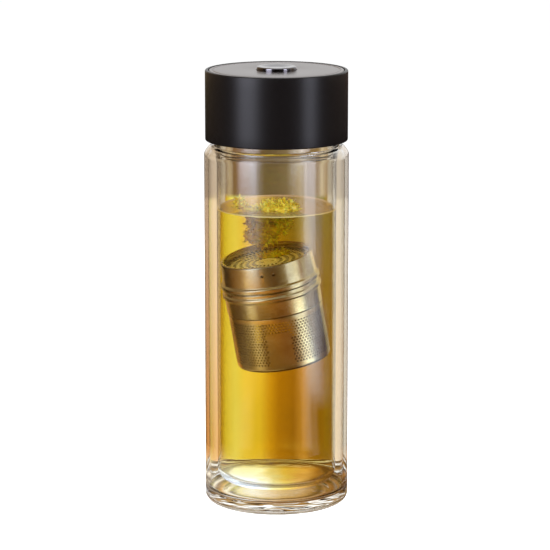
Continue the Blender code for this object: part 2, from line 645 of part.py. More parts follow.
def lean_of_infuser():
    """Return the lean angle, and how far the infuser's middle lies off the bore's axis.

    The cup's lower corner lies CUP_TO_GLASS from one wall, and the lid's rim or its bead
    LID_TO_GLASS from the other.
    """
    lid_limit = BORE_RADIUS - LID_TO_GLASS
    width = lid_limit + BORE_RADIUS - CUP_TO_GLASS
    lid_corners = (
        (LID_TOP_RADIUS, INFUSER_HEIGHT - LID_RIM_ROUND),
        (LID_BAND_RADIUS + BEAD_PROUD + SHEET / 2, LID_BOTTOM + BEAD_HEIGHT / 2),
    )
    best = None
    for radius, station in lid_corners:
        rise = station - CUP_CORNER
        across = radius + CUP_RADIUS
        angle = math.asin(width / math.hypot(rise, across)) - math.atan2(across, rise)
        if best is None or angle < best:
            best = angle
            above = station - INFUSER_HEIGHT / 2
            reach = above * math.sin(angle) + radius * math.cos(angle)
            offset = lid_limit - reach
    return best, offset


def place_infuser():
    """Return the empty that carries the infuser, leaning where the drop has left it."""
    angle, offset = lean_of_infuser()
    heading = Vector((math.cos(LEAN_HEADING), math.sin(LEAN_HEADING), 0.0))
    centre = heading * offset
    centre.z = FLOOR_HEIGHT + INFUSER_CENTRE_ABOVE_FLOOR
    hinge = Vector((0.0, 0.0, 1.0)).cross(heading)
    carrier = bpy.data.objects.new("infuser_place", None)
    bpy.context.scene.collection.objects.link(carrier)
    lean = Matrix.Rotation(angle, 4, hinge)
    lower = Matrix.Translation((0.0, 0.0, -INFUSER_HEIGHT / 2))
    carrier.matrix_world = Matrix.Translation(centre) @ lean @ lower
    print("infuser lean, degrees", round(math.degrees(angle), 3))
    print("infuser axis", [round(value, 6) for value in carrier.matrix_world.col[2].xyz])
    print("infuser base centre, m", [round(value, 6) for value in carrier.matrix_world.translation])
    return carrier


def row_round(radius, height, odd):
    """Return sideways placements of one row of holes round a wall; odd rows are staggered."""
    count = max(3, int(math.tau * radius / HOLE_SPACING))
    phase = odd * math.pi / count
    return [sideways(placement) for placement in around(count, radius, height, phase)]


def rings_over(inner, outer, height):
    """Return upright placements of rings of holes between two radii on a disc."""
    placements = []
    ring = inner
    while ring <= outer:
        count = max(3, int(math.tau * ring / HOLE_SPACING))
        placements += around(count, ring, height)
        ring += HOLE_SPACING
    return placements


def build_infuser_cup(stainless, carrier):
    """Deep-drawn perforated cup, drawn in at the top where it enters the collar."""
    tongue = COLLAR_RADIUS - SHEET - SEAT_GAP
    tongue_top = CUP_HEIGHT + CUP_TONGUE
    cup = turned("infuser_cup", (
        (0.0, 0.0, 0.0),
        (CUP_RADIUS, 0.0, CUP_CORNER),
        (CUP_RADIUS, CUP_HEIGHT, 0.0),
        (tongue, CUP_HEIGHT, 0.0),
        (tongue, tongue_top, 0.0),
        (tongue - SHEET, tongue_top, 0.0),
        (tongue - SHEET, CUP_HEIGHT - SHEET, 0.0),
        (CUP_RADIUS - SHEET, CUP_HEIGHT - SHEET, 0.0),
        (CUP_RADIUS - SHEET, SHEET, CUP_CORNER - SHEET),
        (0.0, SHEET, 0.0),
    ), stainless, parent=carrier)
    placements = []
    height = CUP_CORNER + HOLE_SPACING / 2
    row = 0
    while height < CUP_HEIGHT - HOLE_SPACING / 3:
        placements += row_round(CUP_RADIUS, height, row % 2)
        height += HOLE_SPACING * ROW_PITCH
        row += 1
    placements += rings_over(HOLE_SPACING, CUP_RADIUS - CUP_CORNER - HOLE_SPACING / 3, SHEET / 2)
    holes = prisms("cup_holes", placements, HOLE_RADIUS, 6 * SHEET, HOLE_SIDES, carrier)
    combine(cup, holes, "DIFFERENCE")


def build_infuser_collar(stainless, carrier):
    """Rolled collar that the lid screws on to, with its bead and threaded neck."""
    bead = COLLAR_RADIUS + BEAD_PROUD
    collar = turned("infuser_collar", (
        (COLLAR_RADIUS - SHEET, COLLAR_BOTTOM, 0.0),
        (COLLAR_RADIUS, COLLAR_BOTTOM, 0.0),
        (COLLAR_RADIUS, COLLAR_BEAD_BOTTOM, 0.0),
        (bead, COLLAR_BEAD_BOTTOM + BEAD_HEIGHT / 4, BEAD_HEIGHT / 3),
        (bead, COLLAR_BEAD_TOP - BEAD_HEIGHT / 4, BEAD_HEIGHT / 3),
        (COLLAR_RADIUS, COLLAR_BEAD_TOP, 0.0),
        (COLLAR_RADIUS, COLLAR_LEDGE_TOP, SHEET),
        (INFUSER_NECK_RADIUS, COLLAR_LEDGE_TOP, 0.0),
        (INFUSER_NECK_RADIUS, COLLAR_TOP, 0.0),
        (INFUSER_NECK_RADIUS - SHEET, COLLAR_TOP, 0.0),
        (INFUSER_NECK_RADIUS - SHEET, COLLAR_LEDGE_TOP - SHEET, 0.0),
        (COLLAR_RADIUS - SHEET, COLLAR_LEDGE_TOP - SHEET, 0.0),
        (COLLAR_RADIUS - SHEET, COLLAR_BEAD_TOP, 0.0),
        (bead - SHEET, COLLAR_BEAD_TOP - BEAD_HEIGHT / 4, 0.0),
        (bead - SHEET, COLLAR_BEAD_BOTTOM + BEAD_HEIGHT / 4, 0.0),
        (COLLAR_RADIUS - SHEET, COLLAR_BEAD_BOTTOM, 0.0),
    ), stainless, parent=carrier)
    ridge = thread_ridge(
        "collar_thread", INFUSER_NECK_RADIUS, INFUSER_NECK_RADIUS + INFUSER_THREAD_DEPTH,
        COLLAR_THREAD_START, INFUSER_LEAD, INFUSER_THREAD_TURNS,
        INFUSER_THREAD_WIDTH, INFUSER_THREAD_BITE, carrier,
    )
    combine(collar, ridge, "UNION")


def build_infuser_lid(stainless, magnetic_steel, carrier):
    """Screw ring with a rolled rim, and the screen that it holds down and the magnet pulls."""
    bead = LID_BAND_RADIUS + BEAD_PROUD + SHEET / 2
    lid = turned("infuser_lid_ring", (
        (bead - SHEET, LID_BOTTOM, 0.0),
        (bead, LID_BOTTOM + BEAD_HEIGHT / 6, SHEET / 2),
        (bead, LID_BEAD_TOP - BEAD_HEIGHT / 4, BEAD_HEIGHT / 4),
        (LID_BAND_RADIUS, LID_BEAD_TOP, 0.0),
        (LID_TOP_RADIUS, INFUSER_HEIGHT, LID_RIM_ROUND),
        (LID_RIM_INNER, INFUSER_HEIGHT, LID_RIM_ROUND),
        (LID_RIM_INNER, LID_FLANGE_BOTTOM, 0.0),
        (LID_RIM_INNER + SHEET, LID_FLANGE_BOTTOM, 0.0),
        (LID_RIM_INNER + SHEET, INFUSER_HEIGHT - SHEET, 0.0),
        (LID_INNER_RADIUS, INFUSER_HEIGHT - SHEET, 0.0),
        (LID_INNER_RADIUS, LID_BEAD_TOP - BEAD_HEIGHT / 4, 0.0),
        (bead - SHEET, LID_BEAD_TOP - BEAD_HEIGHT / 3, 0.0),
    ), stainless, parent=carrier)
    ridge = thread_ridge(
        "lid_thread", LID_INNER_RADIUS, INFUSER_NECK_RADIUS + SEAT_GAP,
        LID_THREAD_START, INFUSER_LEAD, INFUSER_THREAD_TURNS,
        INFUSER_THREAD_WIDTH, INFUSER_THREAD_BITE, carrier,
    )
    combine(lid, ridge, "UNION")
    spread = VENT_SPREAD / LID_BAND_RADIUS / 2
    vents = []
    for side in (-spread, spread):
        heading = Matrix.Rotation(side - math.pi / 2, 4, "Z")
        station = Matrix.Translation((LID_TOP_RADIUS, 0.0, INFUSER_HEIGHT - VENT_BELOW_RIM))
        vents.append(sideways(heading @ station))
    holes = prisms("lid_vents", vents, VENT_RADIUS, 6 * SHEET, HOLE_SIDES, carrier)
    combine(lid, holes, "DIFFERENCE")
    screen = turned("lid_screen", (
        (0.0, SCREEN_BOTTOM, 0.0),
        (SCREEN_RADIUS, SCREEN_BOTTOM, 0.0),
        (SCREEN_RADIUS, SCREEN_TOP, 0.0),
        (0.0, SCREEN_TOP, 0.0),
    ), magnetic_steel, parent=carrier)
    middle = (SCREEN_BOTTOM + SCREEN_TOP) / 2
    grip_holes = prisms(
        "grip_holes", around(2, GRIP_HOLE_SPREAD / 2, middle), GRIP_HOLE_RADIUS,
        4 * SCREEN_THICKNESS, HOLE_SIDES, carrier,
    )
    combine(screen, grip_holes, "DIFFERENCE")
    placements = rings_over(HOLE_SPACING, LID_RIM_INNER - HOLE_SPACING / 4, middle)
    holes = prisms("screen_holes", placements, HOLE_RADIUS, 4 * SCREEN_THICKNESS, HOLE_SIDES, carrier)
    combine(screen, holes, "DIFFERENCE")


def main():
    clear_scene()
    clear = finish_of("borosilicate_glass", (0.93, 0.95, 0.94), 0.02, transmission=1.0)
    anodised = finish_of("black_anodised_aluminium", (0.012, 0.011, 0.011), 0.42, 0.6)
    top_finish = finish_of("satin_black_top", (0.05, 0.046, 0.045), 0.34, 0.7)
    black_plastic = finish_of("black_polypropylene", (0.015, 0.015, 0.015), 0.5)
    white_plastic = finish_of("natural_acetal", (0.78, 0.77, 0.72), 0.45)
    silicone = finish_of("clear_silicone", (0.72, 0.72, 0.70), 0.55)
    chrome = finish_of("polished_chrome", (0.75, 0.76, 0.78), 0.08, 1.0)
    nickel = finish_of("nickel_plated_magnet", (0.62, 0.6, 0.56), 0.22, 1.0)
    spring_steel = finish_of("spring_steel", (0.55, 0.55, 0.56), 0.28, 1.0)
    stainless = finish_of("brushed_stainless", (0.56, 0.52, 0.45), 0.32, 1.0)
    magnetic = finish_of("ferritic_stainless", (0.5, 0.5, 0.5), 0.3, 1.0)
    build_glass(clear)
    build_cap_shell(anodised, top_finish)
    build_threaded_insert(black_plastic, silicone)
    build_button(chrome, white_plastic, spring_steel)
    build_return_spring(spring_steel)
    build_magnet_housing(black_plastic, nickel, silicone, white_plastic, magnetic)
    build_housing_screws(spring_steel)
    carrier = place_infuser()
    build_infuser_cup(stainless, carrier)
    build_infuser_collar(stainless, carrier)
    build_infuser_lid(stainless, magnetic, carrier)


main()
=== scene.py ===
"""Double-wall glass tea tumbler with a black screw cap, a push button and a dropped steel infuser.

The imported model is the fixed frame. Sizes in the classes are millimetres, and a mesh is built in
metres at its place in the frame, so every finished object sits at the origin.
"""

import json
import logging
import math
from collections.abc import Callable, Sequence
from dataclasses import dataclass, field
from enum import Enum

import bmesh
import bpy
from bpy.types import Material, Mesh, Node, NodeOutputs, NodeSocket, NodeTree, Object
from mathutils import Matrix, Vector, noise


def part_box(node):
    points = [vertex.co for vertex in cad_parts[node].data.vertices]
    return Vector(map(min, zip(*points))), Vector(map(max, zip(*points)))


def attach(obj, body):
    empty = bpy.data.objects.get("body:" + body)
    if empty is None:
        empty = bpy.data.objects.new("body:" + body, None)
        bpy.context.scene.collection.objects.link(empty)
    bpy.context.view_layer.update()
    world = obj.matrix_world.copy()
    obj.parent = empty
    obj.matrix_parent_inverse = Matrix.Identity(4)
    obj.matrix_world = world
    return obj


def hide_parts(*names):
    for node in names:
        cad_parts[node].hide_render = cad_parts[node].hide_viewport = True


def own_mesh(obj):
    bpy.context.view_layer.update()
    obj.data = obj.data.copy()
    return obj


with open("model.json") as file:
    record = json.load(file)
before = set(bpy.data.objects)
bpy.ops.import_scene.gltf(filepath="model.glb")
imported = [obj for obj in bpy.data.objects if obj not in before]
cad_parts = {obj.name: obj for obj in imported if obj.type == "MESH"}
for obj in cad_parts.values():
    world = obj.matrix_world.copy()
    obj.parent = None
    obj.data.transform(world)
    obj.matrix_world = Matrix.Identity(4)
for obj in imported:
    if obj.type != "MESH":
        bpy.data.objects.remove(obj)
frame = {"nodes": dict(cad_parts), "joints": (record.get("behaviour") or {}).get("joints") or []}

log = logging.getLogger("tumbler")

MM = 0.001
FULL_TURN = 2.0 * math.pi
SHARP_ANGLE = math.radians(35.0)

Corner = tuple[float, float, float]
Point2 = tuple[float, float]
Tones = tuple[tuple[float, str], ...]
Source = Node | NodeSocket
Shade = Callable[[NodeTree, NodeSocket], dict[str, Source]]
Glow = tuple[Source | tuple, Source | float, Source | float]
Light = Callable[[NodeTree, NodeSocket, NodeOutputs], Glow]
FaceTest = Callable[[float, float], bool]


class Part(Enum):
    """Bodies of the frame that the pieces ride on."""

    TUMBLER = "tumbler"
    CAP = "cap"
    BUTTON = "button"
    INFUSER = "infuser"
    SCREEN = "infuser_screen"
    LID = "infuser_lid"


# Helpers for colours and nodes


def linear(hex_colour: str) -> tuple[float, float, float, float]:
    """Turn an sRGB hex colour into linear red, green, blue and a full alpha.

    Args:
        hex_colour: Six hex digits after a hash.

    Returns:
        Four numbers from 0 to 1.
    """
    digits = hex_colour.lstrip("#")
    channels = []
    for start in (0, 2, 4):
        value = int(digits[start:start + 2], 16) / 255.0
        channels.append(value / 12.92 if value <= 0.04045 else ((value + 0.055) / 1.055) ** 2.4)
    return (channels[0], channels[1], channels[2], 1.0)


def set_all(item: object, **values: object) -> object:
    """Set several properties of a Blender item.

    Args:
        item: What has the properties.
        **values: Their values by name.

    Returns:
        The item.
    """
    for name, value in values.items():
        setattr(item, name, value)
    return item


def add_node(
    tree: NodeTree, kind: str, inputs: dict | Sequence = (), **settings: object,
) -> Node:
    """Add one node with its settings and inputs.

    Args:
        tree: The node tree that gets the node.
        kind: Blender's name for the node.
        inputs: Values, or nodes and sockets to link, in the inputs' order or by name or number.
        **settings: Properties of the node itself.

    Returns:
        The new node.
    """
    node = set_all(tree.nodes.new(kind), **settings)
    for name, value in inputs.items() if isinstance(inputs, dict) else enumerate(inputs):
        source = value.outputs[0] if isinstance(value, Node) else value
        if isinstance(source, NodeSocket):
            tree.links.new(source, node.inputs[name])
        else:
            node.inputs[name].default_value = source
    return node


def graded(tree: NodeTree, value: Source, ends: Point2, stops: Tones) -> Node:
    """Return a colour that changes with a value.

    Args:
        tree: The node tree.
        value: What the colour follows.
        ends: The values at the scale's two ends.
        stops: Place on the scale, from 0 to 1, and hex colour of each stop.

    Returns:
        The node that gives the colour.
    """
    share = add_node(tree, "ShaderNodeMapRange", [value, *ends])
    ramp = add_node(tree, "ShaderNodeValToRGB", [share])
    elements = ramp.color_ramp.elements
    while len(elements) < len(stops):
        elements.new(0.5)
    for element, (position, colour) in zip(elements, stops):
        element.position = position
        element.color = linear(colour)
    return ramp


def per_size(size_mm: float) -> float:
    """Return the scale of a noise whose patches have this size."""
    return 1.0 / (size_mm * MM)


def new_material(name: str, shade: Shade) -> Material:
    """Make a material of its own nodes only.

    Args:
        name: The material's name.
        shade: Adds nodes to the tree, given Object coordinates, and returns the output's inputs.

    Returns:
        The material.
    """
    material = bpy.data.materials.new(name)
    material.use_nodes = True
    tree = material.node_tree
    tree.nodes.clear()
    place = add_node(tree, "ShaderNodeTexCoord").outputs["Object"]
    add_node(tree, "ShaderNodeOutputMaterial", shade(tree, place))
    return material


def clear_to_lamps(tree: NodeTree, shader: Source, tint: str) -> Node:
    """Return a shader with the given one's look, whose shadow is only a clear tint.

    Args:
        tree: The material's node tree.
        shader: What every other ray sees.
        tint: Hex colour of the shadow.

    Returns:
        The shader of both.
    """
    clear = add_node(tree, "ShaderNodeBsdfTransparent", {"Color": linear(tint)})
    shadow = add_node(tree, "ShaderNodeLightPath").outputs["Is Shadow Ray"]
    return add_node(tree, "ShaderNodeMixShader", [shadow, shader, clear])


# Finishes, each named for what the real surface is or for the light or shade painted on it


class Finish:
    """A surface whose colour, gloss and relief come from its own nodes."""

    name: str

    def shade(self, tree: NodeTree, place: NodeSocket) -> dict[str, Source]:
        """Add the surface's nodes to a tree and return the inputs of its output."""
        raise NotImplementedError

    def build(self) -> Material:
        """Return the material."""
        return new_material(self.name, self.shade)


@dataclass(frozen=True)
class ClearGlass(Finish):
    """Borosilicate glass, blown and fire-polished: clear, smooth and very slightly wavy.

    The thick base is moulded, so below moulded_z (in metres) it ripples more.
    """

    name: str = "borosilicate_glass"
    tint: str = "#FBFDFC"
    ior: float = 1.47
    mirror: float = 0.4
    wave_mm: float = 14.0
    wave_depth_mm: float = 0.02
    moulded_z: Point2 = (0.0105, 0.006)
    base_ripple: float = 12.0
    base_ripple_mm: float = 9.0

    def shade(self, tree: NodeTree, place: NodeSocket) -> dict[str, Source]:
        """Add the glass; lamps pass through it, so that what stands inside is lit.

        Args:
            tree: The material's node tree.
            place: Object coordinates.

        Returns:
            The inputs of the material's output.
        """
        wave = add_node(tree, "ShaderNodeTexNoise", {
            "Vector": place, "Scale": per_size(self.wave_mm), "Detail": 1.0, "Roughness": 0.4,
        })
        ripple = add_node(tree, "ShaderNodeTexNoise", {
            "Vector": place, "Scale": per_size(self.base_ripple_mm), "Detail": 1.0, "Roughness": 0.5,
        })
        _, _, z = add_node(tree, "ShaderNodeSeparateXYZ", [place]).outputs
        moulded = add_node(tree, "ShaderNodeMapRange", [z, *self.moulded_z, 0.0, self.base_ripple])
        height = add_node(tree, "ShaderNodeMath", [ripple, moulded, wave], operation="MULTIPLY_ADD")
        bump = add_node(tree, "ShaderNodeBump", {
            "Height": height, "Strength": 1.0, "Distance": self.wave_depth_mm * MM,
        })
        glass = add_node(tree, "ShaderNodeBsdfPrincipled", {
            "Base Color": linear(self.tint), "Roughness": 0.0, "IOR": self.ior,
            "Transmission Weight": 1.0, "Specular IOR Level": self.mirror, "Normal": bump,
        })
        return {"Surface": clear_to_lamps(tree, glass, "#F4F6F4")}


@dataclass(frozen=True)
class BrewedTea(Finish):
    """Green tea as brewed: a clear liquid whose yellow deepens with the way light goes in it.

    A glow painted on its floor (floor_z, front_y and brim_reach, in metres) stands for the light
    that gathers there, and a thin skin of tea dust lies on its free surface, painted as a glow that
    stands for light at the meniscus and is denser where that climbs the glass (climb_reach).
    """

    name: str = "brewed_green_tea"
    free: bool = False
    tint: str = "#FFFFFF"
    absorbed: str = "#F6E23C"
    density: float = 38.0
    ior: float = 1.03
    floor_z: Point2 = (0.0122, 0.0111)
    front_y: Point2 = (0.017, 0.009)
    brim_reach: Point2 = (0.0235, 0.0252)
    climb_reach: Point2 = (0.0256, 0.0266)
    floor_cover: float = 0.8
    brim_glow: float = 2.8
    floor_ripple: float = 0.016
    floor_x: Point2 = (-0.016, 0.032)
    skin_cover: Point2 = (0.24, 0.85)
    skin_glow: float = 0.85
    skin_y: Point2 = (-0.027, 0.027)
    # Colours of the glow painted on the tea's floor, from left to right.
    painted_floor_glow_tones: Tones = (
        (0.0, "#C8D0E8"), (0.3, "#CCDCFA"), (0.38, "#C4C8BC"), (0.45, "#B4B28A"), (0.585, "#B6A254"),
        (0.72, "#AC884A"), (0.88, "#805820"), (1.0, "#503410"),
    )
    # Colours of the skin's painted glow, from front to back.
    skin: Tones = ((0.0, "#FFEAA0"), (0.3, "#E8C070"), (1.0, "#DCB084"))

    def shade(self, tree: NodeTree, place: NodeSocket) -> dict[str, Source]:
        """Add the wet surface with its painted glows, and absorption by depth in the volume.

        Args:
            tree: The material's node tree.
            place: Object coordinates.

        Returns:
            The inputs of the material's output.
        """
        liquid = add_node(tree, "ShaderNodeBsdfPrincipled", {
            "Base Color": linear(self.tint), "Roughness": 0.0, "IOR": self.ior,
            "Transmission Weight": 1.0,
        })
        lit = clear_to_lamps(tree, liquid, "#FFFDF0")
        depth = add_node(tree, "ShaderNodeVolumeAbsorption", {
            "Color": linear(self.absorbed), "Density": self.density,
        })
        laid = self.painted_skin_glow if self.free else self.painted_floor_glow
        return {"Surface": laid(tree, place, lit), "Volume": depth}

    def painted_floor_glow(self, tree: NodeTree, place: NodeSocket, liquid: Source) -> Node:
        """Paint the light that the tumbler gathers on the tea's floor as a glow, brightest at the left.

        Args:
            tree: The material's node tree.
            place: Object coordinates.
            liquid: The bare liquid's shader.

        Returns:
            The shader of both.
        """
        uneven = add_node(tree, "ShaderNodeTexNoise", {"Vector": place, "Scale": 90.0, "Detail": 2.0})
        x, y, z = add_node(tree, "ShaderNodeSeparateXYZ", [place]).outputs
        low = add_node(tree, "ShaderNodeMapRange", [z, *self.floor_z, 0.0, self.floor_cover])
        front = add_node(tree, "ShaderNodeMapRange", [y, *self.front_y])
        reach = add_node(tree, "ShaderNodeVectorMath", [place], operation="LENGTH").outputs["Value"]
        brim = add_node(tree, "ShaderNodeMapRange", [reach, *self.brim_reach, self.brim_glow, 1.0])
        behind = add_node(tree, "ShaderNodeNewGeometry").outputs["Backfacing"]
        inside = add_node(tree, "ShaderNodeMath", [front, behind], operation="MULTIPLY")
        share = add_node(tree, "ShaderNodeMath", [low, inside], operation="MULTIPLY")
        across = add_node(tree, "ShaderNodeMath", [
            uneven, self.floor_ripple, x,
        ], operation="MULTIPLY_ADD")
        colour = graded(tree, across, self.floor_x, self.painted_floor_glow_tones)
        # The emission paints the light gathered on the tea's floor.
        glow = add_node(tree, "ShaderNodeEmission", [colour, brim])
        return add_node(tree, "ShaderNodeMixShader", [share, liquid, glow])

    def painted_skin_glow(self, tree: NodeTree, place: NodeSocket, liquid: Source) -> Node:
        """Lay the skin of tea dust on the liquid, painted as a glow that stands for light at the
        meniscus.

        Args:
            tree: The material's node tree.
            place: Object coordinates.
            liquid: The bare liquid's shader.

        Returns:
            The shader of both.
        """
        flat = add_node(tree, "ShaderNodeVectorMath", [place, (1.0, 1.0, 0.0)], operation="MULTIPLY")
        reach = add_node(tree, "ShaderNodeVectorMath", [flat], operation="LENGTH").outputs["Value"]
        share = add_node(tree, "ShaderNodeMapRange", [reach, *self.climb_reach, *self.skin_cover])
        _, y, _ = add_node(tree, "ShaderNodeSeparateXYZ", [place]).outputs
        # The emission paints light at the meniscus.
        skin = add_node(tree, "ShaderNodeEmission", [
            graded(tree, y, self.skin_y, self.skin), self.skin_glow,
        ])
        return add_node(tree, "ShaderNodeMixShader", [share, liquid, skin])


@dataclass(frozen=True)
class SpunSteel(Finish):
    """304 stainless sheet, spun and brushed round its axis: fine rings and soft, long highlights."""

    name: str = "spun_stainless_304"
    colour: str = "#E4DDD0"
    stain: str = "#B89C70"
    roughness: float = 0.2
    metallic: float = 1.0
    ring_mm: float = 0.35
    ring_depth_mm: float = 0.006
    stain_mm: float = 9.0
    turn: Matrix = Matrix.Identity(3)

    def shade(self, tree: NodeTree, place: NodeSocket) -> dict[str, Source]:
        """Add the metal; the rings run round the turned piece's own axis.

        Args:
            tree: The material's node tree.
            place: Object coordinates.

        Returns:
            The inputs of the material's output.
        """
        along = add_node(tree, "ShaderNodeMapping", {
            "Vector": place, "Rotation": self.turn.inverted().to_euler(),
        })
        stretch = add_node(tree, "ShaderNodeMapping", {"Vector": along, "Scale": (0.02, 0.02, 1.0)})
        rings = add_node(tree, "ShaderNodeTexNoise", {
            "Vector": stretch, "Scale": per_size(self.ring_mm), "Detail": 2.0, "Roughness": 0.6,
        })
        blotches = add_node(tree, "ShaderNodeTexNoise", {
            "Vector": along, "Scale": per_size(self.stain_mm), "Detail": 3.0, "Roughness": 0.6,
        })
        worn = add_node(tree, "ShaderNodeMapRange", [blotches, 0.45, 0.75, 0.0, 0.5])
        colour = add_node(tree, "ShaderNodeMix", {
            0: worn, 6: linear(self.colour), 7: linear(self.stain),
        }, data_type="RGBA")
        rough = add_node(tree, "ShaderNodeMapRange", [
            rings, 0.0, 1.0, self.roughness * 0.8, self.roughness * 1.3,
        ])
        bump = add_node(tree, "ShaderNodeBump", {
            "Height": rings, "Strength": 0.6, "Distance": self.ring_depth_mm * MM,
        })
        return {"Surface": add_node(tree, "ShaderNodeBsdfPrincipled", {
            "Base Color": colour.outputs[2], "Metallic": self.metallic, "Roughness": rough,
            "Normal": bump,
        })}


@dataclass(frozen=True)
class GrainedSurface(Finish):
    """A plain moulded, painted or plated surface with fine grain in its colour and gloss."""

    name: str
    colour: str
    second: str
    roughness: float
    grain_mm: float
    grain_depth_mm: float
    metallic: float = 0.0
    subsurface: float = 0.0
    specular: float = 0.5

    def shade(self, tree: NodeTree, place: NodeSocket) -> dict[str, Source]:
        """Add the surface.

        Args:
            tree: The material's node tree.
            place: Object coordinates.

        Returns:
            The inputs of the material's output.
        """
        grain = add_node(tree, "ShaderNodeTexNoise", {
            "Vector": place, "Scale": per_size(self.grain_mm), "Detail": 3.0, "Roughness": 0.6,
        })
        colour = add_node(tree, "ShaderNodeMix", {
            0: grain, 6: linear(self.colour), 7: linear(self.second),
        }, data_type="RGBA")
        rough = add_node(tree, "ShaderNodeMapRange", [
            grain, 0.0, 1.0, self.roughness * 0.85, self.roughness * 1.15,
        ])
        bump = add_node(tree, "ShaderNodeBump", {
            "Height": grain, "Strength": 0.5, "Distance": self.grain_depth_mm * MM,
        })
        return {"Surface": add_node(tree, "ShaderNodeBsdfPrincipled", {
            "Base Color": colour.outputs[2], "Metallic": self.metallic, "Roughness": rough,
            "Specular IOR Level": self.specular, "Subsurface Weight": self.subsurface,
            "Subsurface Scale": 1.0 * MM, "Normal": bump,
        })}


@dataclass(frozen=True)
class WetLeaf(Finish):
    """Soaked green tea leaf: thin, yellow to olive, shiny, and lit through from behind.

    Leaves at the left (left_x, in metres) turn amber, and those under the surface (sunk_z) green.
    """

    name: str = "soaked_tea_leaf"
    stops: Tones = ((0.25, "#B4901C"), (0.42, "#E4BC2C"), (0.56, "#FCDE50"), (0.75, "#FFF4A8"))
    warm: str = "#DCB452"
    steeped: str = "#D8ECA8"
    left_x: Point2 = (0.001, -0.011)
    sunk_z: Point2 = (0.138, 0.134)
    patch_mm: float = 2.6
    vein_mm: float = 0.5

    def shade(self, tree: NodeTree, place: NodeSocket) -> dict[str, Source]:
        """Add the leaf.

        Args:
            tree: The material's node tree.
            place: Object coordinates.

        Returns:
            The inputs of the material's output.
        """
        patches = add_node(tree, "ShaderNodeTexNoise", {
            "Vector": place, "Scale": per_size(self.patch_mm), "Detail": 4.0, "Roughness": 0.7,
        })
        x, _, z = add_node(tree, "ShaderNodeSeparateXYZ", [place]).outputs
        left = add_node(tree, "ShaderNodeMapRange", [x, *self.left_x, 0.0, 0.75])
        sunk = add_node(tree, "ShaderNodeMapRange", [z, *self.sunk_z])
        amber = add_node(tree, "ShaderNodeMath", [left, sunk], operation="MULTIPLY")
        colour = graded(tree, patches, (0.0, 1.0), self.stops).outputs[0]
        for share, tone in ((amber, self.warm), (sunk, self.steeped)):
            colour = add_node(tree, "ShaderNodeMix", {
                0: share, 6: colour, 7: linear(tone),
            }, data_type="RGBA", blend_type="MULTIPLY").outputs[2]
        veins = add_node(tree, "ShaderNodeTexNoise", {
            "Vector": place, "Scale": per_size(self.vein_mm), "Detail": 2.0,
        })
        bump = add_node(tree, "ShaderNodeBump", {
            "Height": veins, "Strength": 0.6, "Distance": 0.12 * MM,
        })
        return {"Surface": add_node(tree, "ShaderNodeBsdfPrincipled", {
            "Base Color": colour, "Roughness": 0.42, "Coat Weight": 0.4, "Coat Roughness": 0.15,
            "Subsurface Weight": 0.3, "Subsurface Scale": 1.5 * MM, "Normal": bump,
        })}


# Helpers for meshes


def rounded_outline(corners: Sequence[Corner], steps: int = 6) -> list[Point2]:
    """Return the points of a closed outline whose corners are rounded.

    Args:
        corners: Radius, height and rounding of each corner, in millimetres.
        steps: Straight pieces in each rounding.

    Returns:
        Radius and height of each point, in millimetres.
    """
    points: list[Point2] = []
    count = len(corners)
    for index, (radius, height, rounding) in enumerate(corners):
        here = Vector((radius, height))
        if rounding <= 0.0:
            points.append((radius, height))
            continue
        last = corners[index - 1]
        following = corners[(index + 1) % count]
        back = Vector(last[:2]) - here
        ahead = Vector(following[:2]) - here
        half_angle = back.angle(ahead) / 2
        back_room = back.length * (0.49 if last[2] > 0 else 0.98)
        ahead_room = ahead.length * (0.49 if following[2] > 0 else 0.98)
        reach = min(rounding / math.tan(half_angle), back_room, ahead_room)
        arc = reach * math.tan(half_angle)
        inward = (back.normalized() + ahead.normalized()).normalized()
        centre = here + inward * arc / math.sin(half_angle)
        start = here + back.normalized() * reach - centre
        end = here + ahead.normalized() * reach - centre
        first = math.atan2(start.y, start.x)
        sweep = math.atan2(start.x * end.y - start.y * end.x, start.dot(end))
        for step in range(steps + 1):
            angle = first + sweep * step / steps
            points.append((centre.x + arc * math.cos(angle), centre.y + arc * math.sin(angle)))
    return points


def finer(points: Sequence[Point2], step: float) -> list[Point2]:
    """Split the long edges of a closed outline.

    Args:
        points: The outline in millimetres.
        step: The longest edge that is left, in millimetres.

    Returns:
        The finer outline.
    """
    result: list[Point2] = []
    for (r0, z0), (r1, z1) in zip(points, list(points[1:]) + [points[0]]):
        parts = max(1, math.ceil(math.hypot(r1 - r0, z1 - z0) / step))
        if r0 < 1e-6 and r1 < 1e-6:
            parts = 1
        for part in range(parts):
            share = part / parts
            result.append((r0 + (r1 - r0) * share, z0 + (z1 - z0) * share))
    return result


def new_mesh(name: str, verts: Sequence, faces: Sequence = ()) -> Mesh:
    """Make a mesh of points and faces.

    Args:
        name: The mesh's name.
        verts: Its points, in metres.
        faces: The numbers of each face's points.

    Returns:
        The mesh.
    """
    mesh = bpy.data.meshes.new(name)
    mesh.from_pydata(verts, [], faces)
    return mesh


def baked(name: str, shape: bmesh.types.BMesh) -> Mesh:
    """Turn a bmesh into a mesh and free it.

    Args:
        name: The mesh's name.
        shape: The bmesh.

    Returns:
        The mesh.
    """
    mesh = bpy.data.meshes.new(name)
    shape.to_mesh(mesh)
    shape.free()
    return mesh


def absorb(shape: bmesh.types.BMesh, mesh: Mesh) -> None:
    """Add a mesh to a bmesh and remove it."""
    shape.from_mesh(mesh)
    bpy.data.meshes.remove(mesh)


def outward(mesh: Mesh) -> Mesh:
    """Turn a closed mesh's faces outwards.

    Args:
        mesh: The mesh.

    Returns:
        The same mesh.
    """
    shape = bmesh.new()
    shape.from_mesh(mesh)
    bmesh.ops.recalc_face_normals(shape, faces=shape.faces)
    shape.to_mesh(mesh)
    shape.free()
    return mesh


def linked(name: str, data: bpy.types.ID) -> Object:
    """Put a new object in the scene.

    Args:
        name: The object's name.
        data: Its mesh, camera or lamp.

    Returns:
        The object.
    """
    item = bpy.data.objects.new(name, data)
    bpy.context.scene.collection.objects.link(item)
    return item


